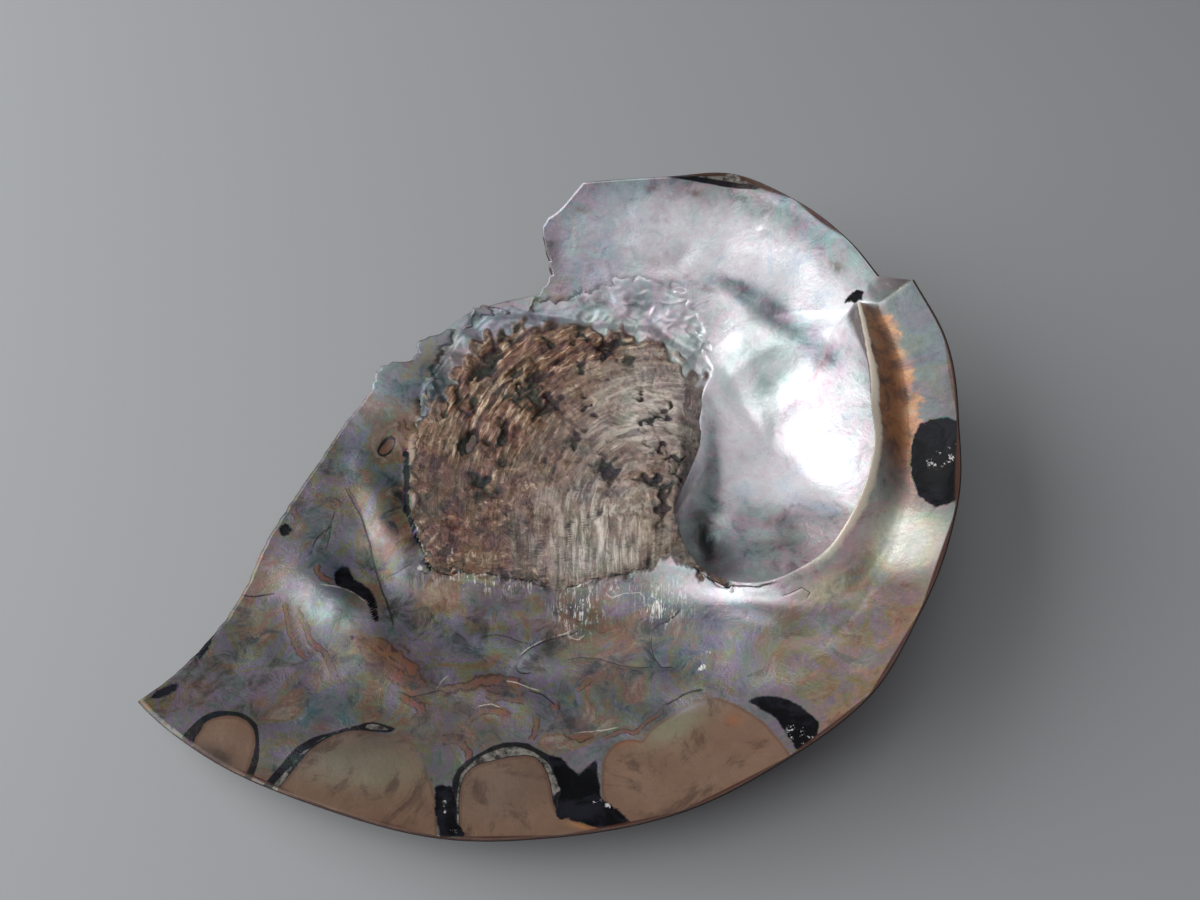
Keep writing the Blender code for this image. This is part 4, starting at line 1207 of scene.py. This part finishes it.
def makePearl():
    # mother-of-pearl with the lip's colours (a painted highlight along the crest, painted shade under it), veins,
    # growth patches, black horn and a black painted shadow, flecks, lace and the edge's line
    look = motherOfPearl
    material, tree, shader, place = startMaterial("mother_of_pearl")
    colour, grain, patches, cloud = pearlColour(tree, place)
    wobble = calc(tree, "MULTIPLY_ADD", noise(tree, place, 260, 4, 0.6), 6.0, -3.0)
    slight = times(tree, wobble, 0.3)

    def away(name):
        return calc(tree, "ADD", attribute(tree, name + "Away"), slight)

    # grey strip, copper valley behind the right-hand crest, a painted highlight along the crest, and dark brown
    # under it: the lip's own dark edge with painted shade under the overhang
    growth = calc(tree, "MULTIPLY_ADD", wobble, 0.02, attribute(tree, "growth"))
    patchy = calc(tree, "MULTIPLY_ADD", cloud, 1.1, calc(tree, "ADD", growth, -0.55))
    shelf = attribute(tree, "shelf")
    strip = times(tree, between(tree, patchy, 1.48, 1.62), attribute(tree, "valley"))
    colour = mixed(tree, times(tree, strip, 0.85), colour, (76, 78, 78))
    valley = times(tree, between(tree, growth, 0.97, 1.02), between(tree, patchy, 1.66, 1.50))
    valley = times(tree, valley, attribute(tree, "valley"))
    brown = ramp(tree, patches, [
        (0.34, (80, 56, 44)), (0.46, (120, 80, 56)), (0.56, (160, 106, 62)), (0.7, (140, 112, 90)),
    ])
    colour = mixed(tree, times(tree, valley, 0.9), colour, brown)
    # painted highlight: pale cream along the crest's roll
    crest = times(tree, between(tree, growth, 0.80, 0.88), between(tree, growth, 1.03, 0.97))
    colour = mixed(tree, times(tree, times(tree, crest, shelf), 0.8), colour, (255, 238, 212))
    # the lip's own dark brown edge, with painted shade on the wall under the overhanging crest
    under = times(tree, between(tree, growth, 0.3, 0.45), between(tree, growth, 0.87, 0.79))
    colour = mixed(tree, times(tree, times(tree, under, shelf), 0.9), colour, (66, 44, 30))

    # rusty ribbons with a dark rim, pale and dark veins, all but the dark ones broken up
    broken = between(tree, patches, 0.36, 0.54)
    matt = times(tree, attribute(tree, "rust"), 0.7)
    for name, tone, share, wide, narrow, bend in (
        ("rusty", look["rust"], 0.85, 1.9, 0.2, 0.8),
        ("light", (186, 178, 170), 0.7, 0.9, 0.2, 0.45),
        ("dark", (30, 24, 24), 0.9, 1.0, 0.3, 0.45),
    ):
        bent = calc(tree, "MULTIPLY_ADD", wobble, bend, attribute(tree, name + "Away"))
        wavy = calc(tree, "ABSOLUTE", bent)
        strength = times(tree, attribute(tree, name + "Strength"), share)
        if name != "dark":
            strength = times(tree, strength, broken)
        line = times(tree, between(tree, wavy, wide, narrow), strength)
        colour = mixed(tree, line, colour, tone)
        if name == "rusty":
            rim = times(tree, between(tree, wavy, 0.6, 1.0), between(tree, wavy, 1.5, 1.1))
            colour = mixed(tree, times(tree, rim, strength), colour, look["rustRim"])
            matt = calc(tree, "MAXIMUM", matt, line)

    # growth patches: ink line, pale strip, thin inner line, tan filling
    colour = mixed(tree, between(tree, away("lobe"), 0.7, -0.7), colour, look["ink"])
    strip = ramp(tree, grain, [(0.38, (52, 48, 46)), (0.47, (94, 90, 84)), (0.60, (134, 128, 120))])
    colour = mixed(tree, between(tree, away("pale"), 0.6, -0.6), colour, strip)
    fillLine = times(tree, between(tree, away("fill"), 0.9, 0.2), between(tree, away("lobe"), 2.0, 0.0))
    colour = mixed(tree, fillLine, colour, look["ink"])
    soft = between(tree, noise(tree, place, 120, 5, 0.65, 0.6), 0.35, 0.65)
    filling = mixed(tree, times(tree, soft, 0.25), attribute(tree, "filling", "Color"), (132, 104, 84))
    smudge = between(tree, noise(tree, place, 70, 6, 0.7, 1.5), 0.50, 0.64, 0, 0.75)
    filling = mixed(tree, smudge, filling, (70, 52, 44))
    filling = mixed(tree, times(tree, grain, 0.3), filling, (74, 58, 48))
    edge = between(tree, calc(tree, "ABSOLUTE", calc(tree, "ADD", away("fill"), 1.5)), 3.0, 0.5, 0, 0.45)
    filling = mixed(tree, edge, filling, (78, 50, 40))
    soften = attribute(tree, "soften")
    outer = calc(tree, "MULTIPLY_ADD", soften, 4.0, 0.5)
    inner = calc(tree, "MULTIPLY_ADD", soften, -9.0, -1.2)
    inFill = between(tree, away("fill"), outer, inner)
    colour = mixed(tree, inFill, colour, filling)

    # black horn with ragged edges, the same black as painted shadow beyond the blister, white flecks, pale lace
    # below the scar, and the line along the edge
    ragged = calc(tree, "MULTIPLY_ADD", grain, 6.0, calc(tree, "MULTIPLY_ADD", wobble, 0.8, -3.0))
    black = between(tree, calc(tree, "ADD", attribute(tree, "blackAway"), ragged), 1.0, -1.0)
    colour = mixed(tree, black, colour, ramp(tree, soft, [(0.2, (8, 8, 10)), (0.8, (24, 24, 30))]))
    fleck = times(tree, attribute(tree, "fleck"), between(tree, noise(tree, place, 420, 5, 0.8), 0.52, 0.60))
    colour = mixed(tree, between(tree, fleck, 0.25, 0.5, 0, 0.75), colour, (205, 202, 198))
    fibre = scaled(tree, attribute(tree, "fibre", "Vector"), (0.05, 0.3, 1))
    threads = between(tree, noise(tree, fibre, 1.0, 4, 0.65, 1.2), 0.50, 0.60)
    lace = times(tree, threads, attribute(tree, "lace"), between(tree, grain, 0.42, 0.56))
    colour = mixed(tree, lace, colour, (214, 210, 204))
    colour = mixed(tree, between(tree, attribute(tree, "edgeAway"), 0.6, 0.2), colour, look["rimLine"])
    tree.links.new(colour, shader.inputs["Base Color"])

    dull = calc(tree, "MAXIMUM", calc(tree, "MAXIMUM", black, inFill), matt)
    pearlFinish(tree, shader, place, grain, dull, black)
    fine = raised(tree, noise(tree, place, 700, 4, 0.65), 0.2, 0.0003)
    tree.links.new(raised(tree, patches, 0.35, 0.0006, fine), shader.inputs["Normal"])
    return material


def pearlFinish(tree, shader, place, grain, dull, black):
    # shine, metal, clear coat and a thin film of uneven thickness, all less where the shell is dull or black
    look = motherOfPearl
    rough = between(tree, grain, 0.3, 0.7, 0.26, 0.42)
    shine = times(tree, between(tree, dull, 0, 1, 0.5, 0.25), between(tree, black, 0, 1, 1, 0.35))
    film = between(tree, noise(tree, place, 45, 3, 0.6, 1.0), 0.25, 0.75, *look["film"])
    for name, value in (
        ("Roughness", calc(tree, "MAXIMUM", rough, times(tree, dull, 0.4))),
        ("Metallic", calc(tree, "MULTIPLY_ADD", dull, -look["metal"], look["metal"])),
        ("Specular IOR Level", shine),
        ("Thin Film Thickness", times(tree, film, between(tree, dull, 1, 0.9))),
        ("Thin Film IOR", look["filmIor"]),
        ("Coat Weight", calc(tree, "MULTIPLY_ADD", dull, -look["coat"], look["coat"])),
        ("Coat Roughness", look["coatRoughness"]),
    ):
        setInput(tree, shader.inputs[name], value)


def makeScar():
    # mother-of-pearl round it; inside, the tint with flakes, cracks and threads that run along the fibres, painted
    # glints on threads and flakes, and painted shade where the relief is low
    material, tree, shader, place = startMaterial("muscle_scar")
    colour, grain = pearlColour(tree, place)[:2]
    fibre = attribute(tree, "fibre", "Vector")
    inside = between(tree, attribute(tree, "share"), 0.1, 0.8)
    silky = times(tree, attribute(tree, "silky"), inside)
    chunky = times(tree, attribute(tree, "chunky"), inside)
    plain = times(tree, inside, calc(tree, "MULTIPLY_ADD", attribute(tree, "silky"), -0.8, 1.0))
    mottle = noise(tree, place, 85, 6, 0.7, 1.0)
    broad = noise(tree, place, 55, 5, 0.65, 1.0)
    crumble = noise(tree, place, 300, 6, 0.8, 0.6)
    flow = noise(tree, scaled(tree, fibre, (0.022, 0.13, 1)), 1.0, 6, 0.6, 0.5)
    thread = noise(tree, scaled(tree, fibre, (0.018, 0.38, 1)), 1.0, 4, 0.6, 0.2)
    flake = noise(tree, scaled(tree, fibre, (0.055, 0.2, 1)), 1.0, 4, 0.65, 0.4)
    blotch = ramp(tree, mottle, [
        (0.32, (52, 40, 38)), (0.42, (96, 68, 54)), (0.49, (122, 94, 78)), (0.55, (108, 68, 50)),
        (0.66, (156, 134, 114)),
    ])
    colour = mixed(tree, times(tree, plain, 0.8), colour, blotch)
    lively = between(tree, noise(tree, place, 75, 4, 0.6), 0.42, 0.58)
    threads = times(tree, silky, lively)
    for share, factor, tone in (
        (plain, between(tree, crumble, 0.49, 0.42, 0, 0.85), (44, 30, 28)),
        (plain, between(tree, crumble, 0.55, 0.63, 0, 0.75), (206, 180, 156)),
        (plain, between(tree, broad, 0.50, 0.62, 0, 0.55), (70, 66, 68)),
        (silky, between(tree, flow, 0.46, 0.36, 0, 0.6), (72, 60, 54)),
        (silky, between(tree, flow, 0.44, 0.62, 0.15, 0.8), (214, 202, 188)),
        # the pale streaks along the silky threads are painted glints
        (threads, between(tree, thread, 0.54, 0.66, 0, 0.55), (238, 232, 222)),
        (threads, between(tree, thread, 0.44, 0.34, 0, 0.4), (86, 72, 64)),
    ):
        colour = mixed(tree, times(tree, share, factor), colour, tone)
    stain = times(tree, attribute(tree, "stain"), between(tree, mottle, 0.42, 0.60))
    colour = mixed(tree, times(tree, times(tree, stain, inside), 0.6), colour, (116, 64, 36))
    # gold and rust flakes, whose palest end is a painted glint
    gold = ramp(tree, flake, [
        (0.36, (24, 20, 20)), (0.44, (74, 46, 36)), (0.50, (126, 80, 54)), (0.55, (150, 120, 98)),
        (0.60, (214, 184, 148)), (0.66, (238, 226, 208)),
    ])
    chunky = times(tree, chunky, between(tree, mottle, 0.36, 0.50, 0.35, 0.9))
    colour = mixed(tree, chunky, colour, gold)
    # painted shade: near black where the scar's relief is low, in its pits and creases
    dark = between(tree, attribute(tree, "relief"), 0.15, -0.3, 0, 0.9)
    colour = mixed(tree, times(tree, dark, inside), colour, (26, 20, 20))
    tree.links.new(colour, shader.inputs["Base Color"])
    pearlFinish(tree, shader, place, grain, times(tree, inside, 0.6), 0.0)
    combed = times(tree, flow, between(tree, attribute(tree, "silky"), 0, 1, 0.5, 2.4))
    height = calc(tree, "ADD", combed, times(tree, crumble, 2.4))
    height = times(tree, calc(tree, "ADD", height, flake), inside)
    tree.links.new(raised(tree, height, 0.7, 0.0006), shader.inputs["Normal"])
    return material


def makeCrust():
    # brick red with pale growth bands and a chalky crust, dark at the grown edge, layered grey at the break
    material, tree, shader, place = startMaterial("brick_red_crust")
    growth = attribute(tree, "growth")
    sway = times(tree, noise(tree, place, 60, 4), 9.0)
    bands = calc(tree, "SINE", calc(tree, "MULTIPLY_ADD", growth, 90.0, sway))
    broad = noise(tree, place, 38, 5, 0.65, 0.5)
    colour = ramp(tree, broad, [
        (0.3, (84, 40, 34)), (0.5, (128, 66, 52)), (0.62, (150, 98, 78)), (0.75, (120, 122, 96)),
    ])
    colour = mixed(tree, between(tree, bands, 0.2, 1.0, 0, 0.35), colour, (186, 160, 140))
    chalk = noise(tree, place, 210, 5, 0.7)
    colour = mixed(tree, between(tree, chalk, 0.56, 0.68, 0, 0.8), colour, (206, 198, 184))
    layered = ramp(tree, noise(tree, scaled(tree, place, (1, 1, 4)), 260, 4, 0.7), [
        (0.35, (96, 84, 78)), (0.5, (150, 146, 140)), (0.65, (190, 186, 178)),
    ])
    torn = attribute(tree, "breakAway")
    atBreak = times(tree, between(tree, growth, 0.93, 0.97), between(tree, torn, 1.5, 0.5))
    colour = mixed(tree, atBreak, colour, layered)
    rim = attribute(tree, "rim")
    lip = times(tree, between(tree, rim, 0.62, 0.5), between(tree, torn, 1.0, 2.0))
    colour = mixed(tree, lip, colour, (104, 72, 58))
    line = times(tree, between(tree, rim, 0.5, 0.62), between(tree, growth, 0.96, 0.985))
    colour = mixed(tree, line, colour, (44, 22, 18))
    tree.links.new(colour, shader.inputs["Base Color"])
    shader.inputs["Roughness"].default_value = 0.75
    height = calc(tree, "ADD", times(tree, bands, 0.25), times(tree, chalk, 2.0))
    tree.links.new(raised(tree, height, 0.8, 0.0008), shader.inputs["Normal"])
    return material


# lights are name, place, aim, size, power, colour, in metres and watts
studio = {
    "floorTone": (0.29, 0.294, 0.298, 1),
    "floorRoughness": 0.7,
    "floorSize": 6,
    "sensorWidth": 36,
    "clipStart": 0.01,
    "ambientTone": (0.85, 0.9, 1.0, 1),
    "ambient": 0.16,
    "lights": [
        ("window", (-0.86, 0.08, 0.62), (0.0, 0.0, 0.0), (1.3, 0.9), 16.6, (0.96, 0.98, 1.0)),
        ("ceiling", (-0.15, -0.10, 1.10), (0.0, 0.0, 0.0), (0.6, 0.6), 2.8, (1.0, 0.99, 0.97)),
    ],
}


def lookAt(place, aim):
    # a matrix whose -Z points from place to aim
    ahead = np.array(aim, float) - np.array(place, float)
    ahead /= np.linalg.norm(ahead)
    side = np.cross(ahead, (0, 0, 1))
    side /= np.linalg.norm(side)
    matrix = np.identity(4)
    matrix[:3, 0], matrix[:3, 1], matrix[:3, 2], matrix[:3, 3] = side, np.cross(side, ahead), -ahead, place
    return Matrix(matrix.tolist())


def makeStage():
    # a pale floor, soft light from a wide window at the far left, and a faint ceiling
    bpy.ops.mesh.primitive_plane_add(size=studio["floorSize"])
    floor = bpy.context.object
    floor.name = "floor"
    material, _, shader, _ = startMaterial("pale_floor")
    shader.inputs["Base Color"].default_value = studio["floorTone"]
    shader.inputs["Roughness"].default_value = studio["floorRoughness"]
    floor.data.materials.append(material)
    for name, place, aim, size, power, colour in studio["lights"]:
        data = bpy.data.lights.new(name, "AREA")
        data.shape = "RECTANGLE"
        data.size, data.size_y = size
        data.energy = power
        data.color = colour
        light = bpy.data.objects.new(name, data)
        light.matrix_world = lookAt(place, aim)
        bpy.context.scene.collection.objects.link(light)
    world = bpy.data.worlds.new("studio")
    world.use_nodes = True
    background = world.node_tree.nodes["Background"].inputs
    background["Color"].default_value = studio["ambientTone"]
    background["Strength"].default_value = studio["ambient"]
    bpy.context.scene.world = world


def makeCamera(middle):
    # at the photograph's angle and distance
    tilt = np.radians(photoView["elevation"])
    aim = (np.array(photoView["aim"]) - middle) * mm
    place = aim - np.array([0, np.cos(tilt), -np.sin(tilt)]) * photoView["distance"] * mm
    data = bpy.data.cameras.new("camera")
    data.sensor_width = studio["sensorWidth"]
    data.lens = studio["sensorWidth"] * photoView["focalPixels"] / photoView["width"]
    data.clip_start = studio["clipStart"]
    camera = bpy.data.objects.new("camera", data)
    camera.matrix_world = lookAt(place, aim)
    bpy.context.scene.collection.objects.link(camera)
    bpy.context.scene.camera = camera


shell, middle = buildShell(shellForm)
shell.data.materials.append(makePearl())
shell.data.materials.append(makeCrust())
scar = buildScar(shellForm, middle)
scar.data.materials.append(makeScar())
for piece in (shell, scar):
    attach(piece, "root")
    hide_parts("shell")
print("shell dressed")

makeStage()
makeCamera(middle)
bpy.context.scene.view_settings.view_transform = "Standard"
print("stage set")
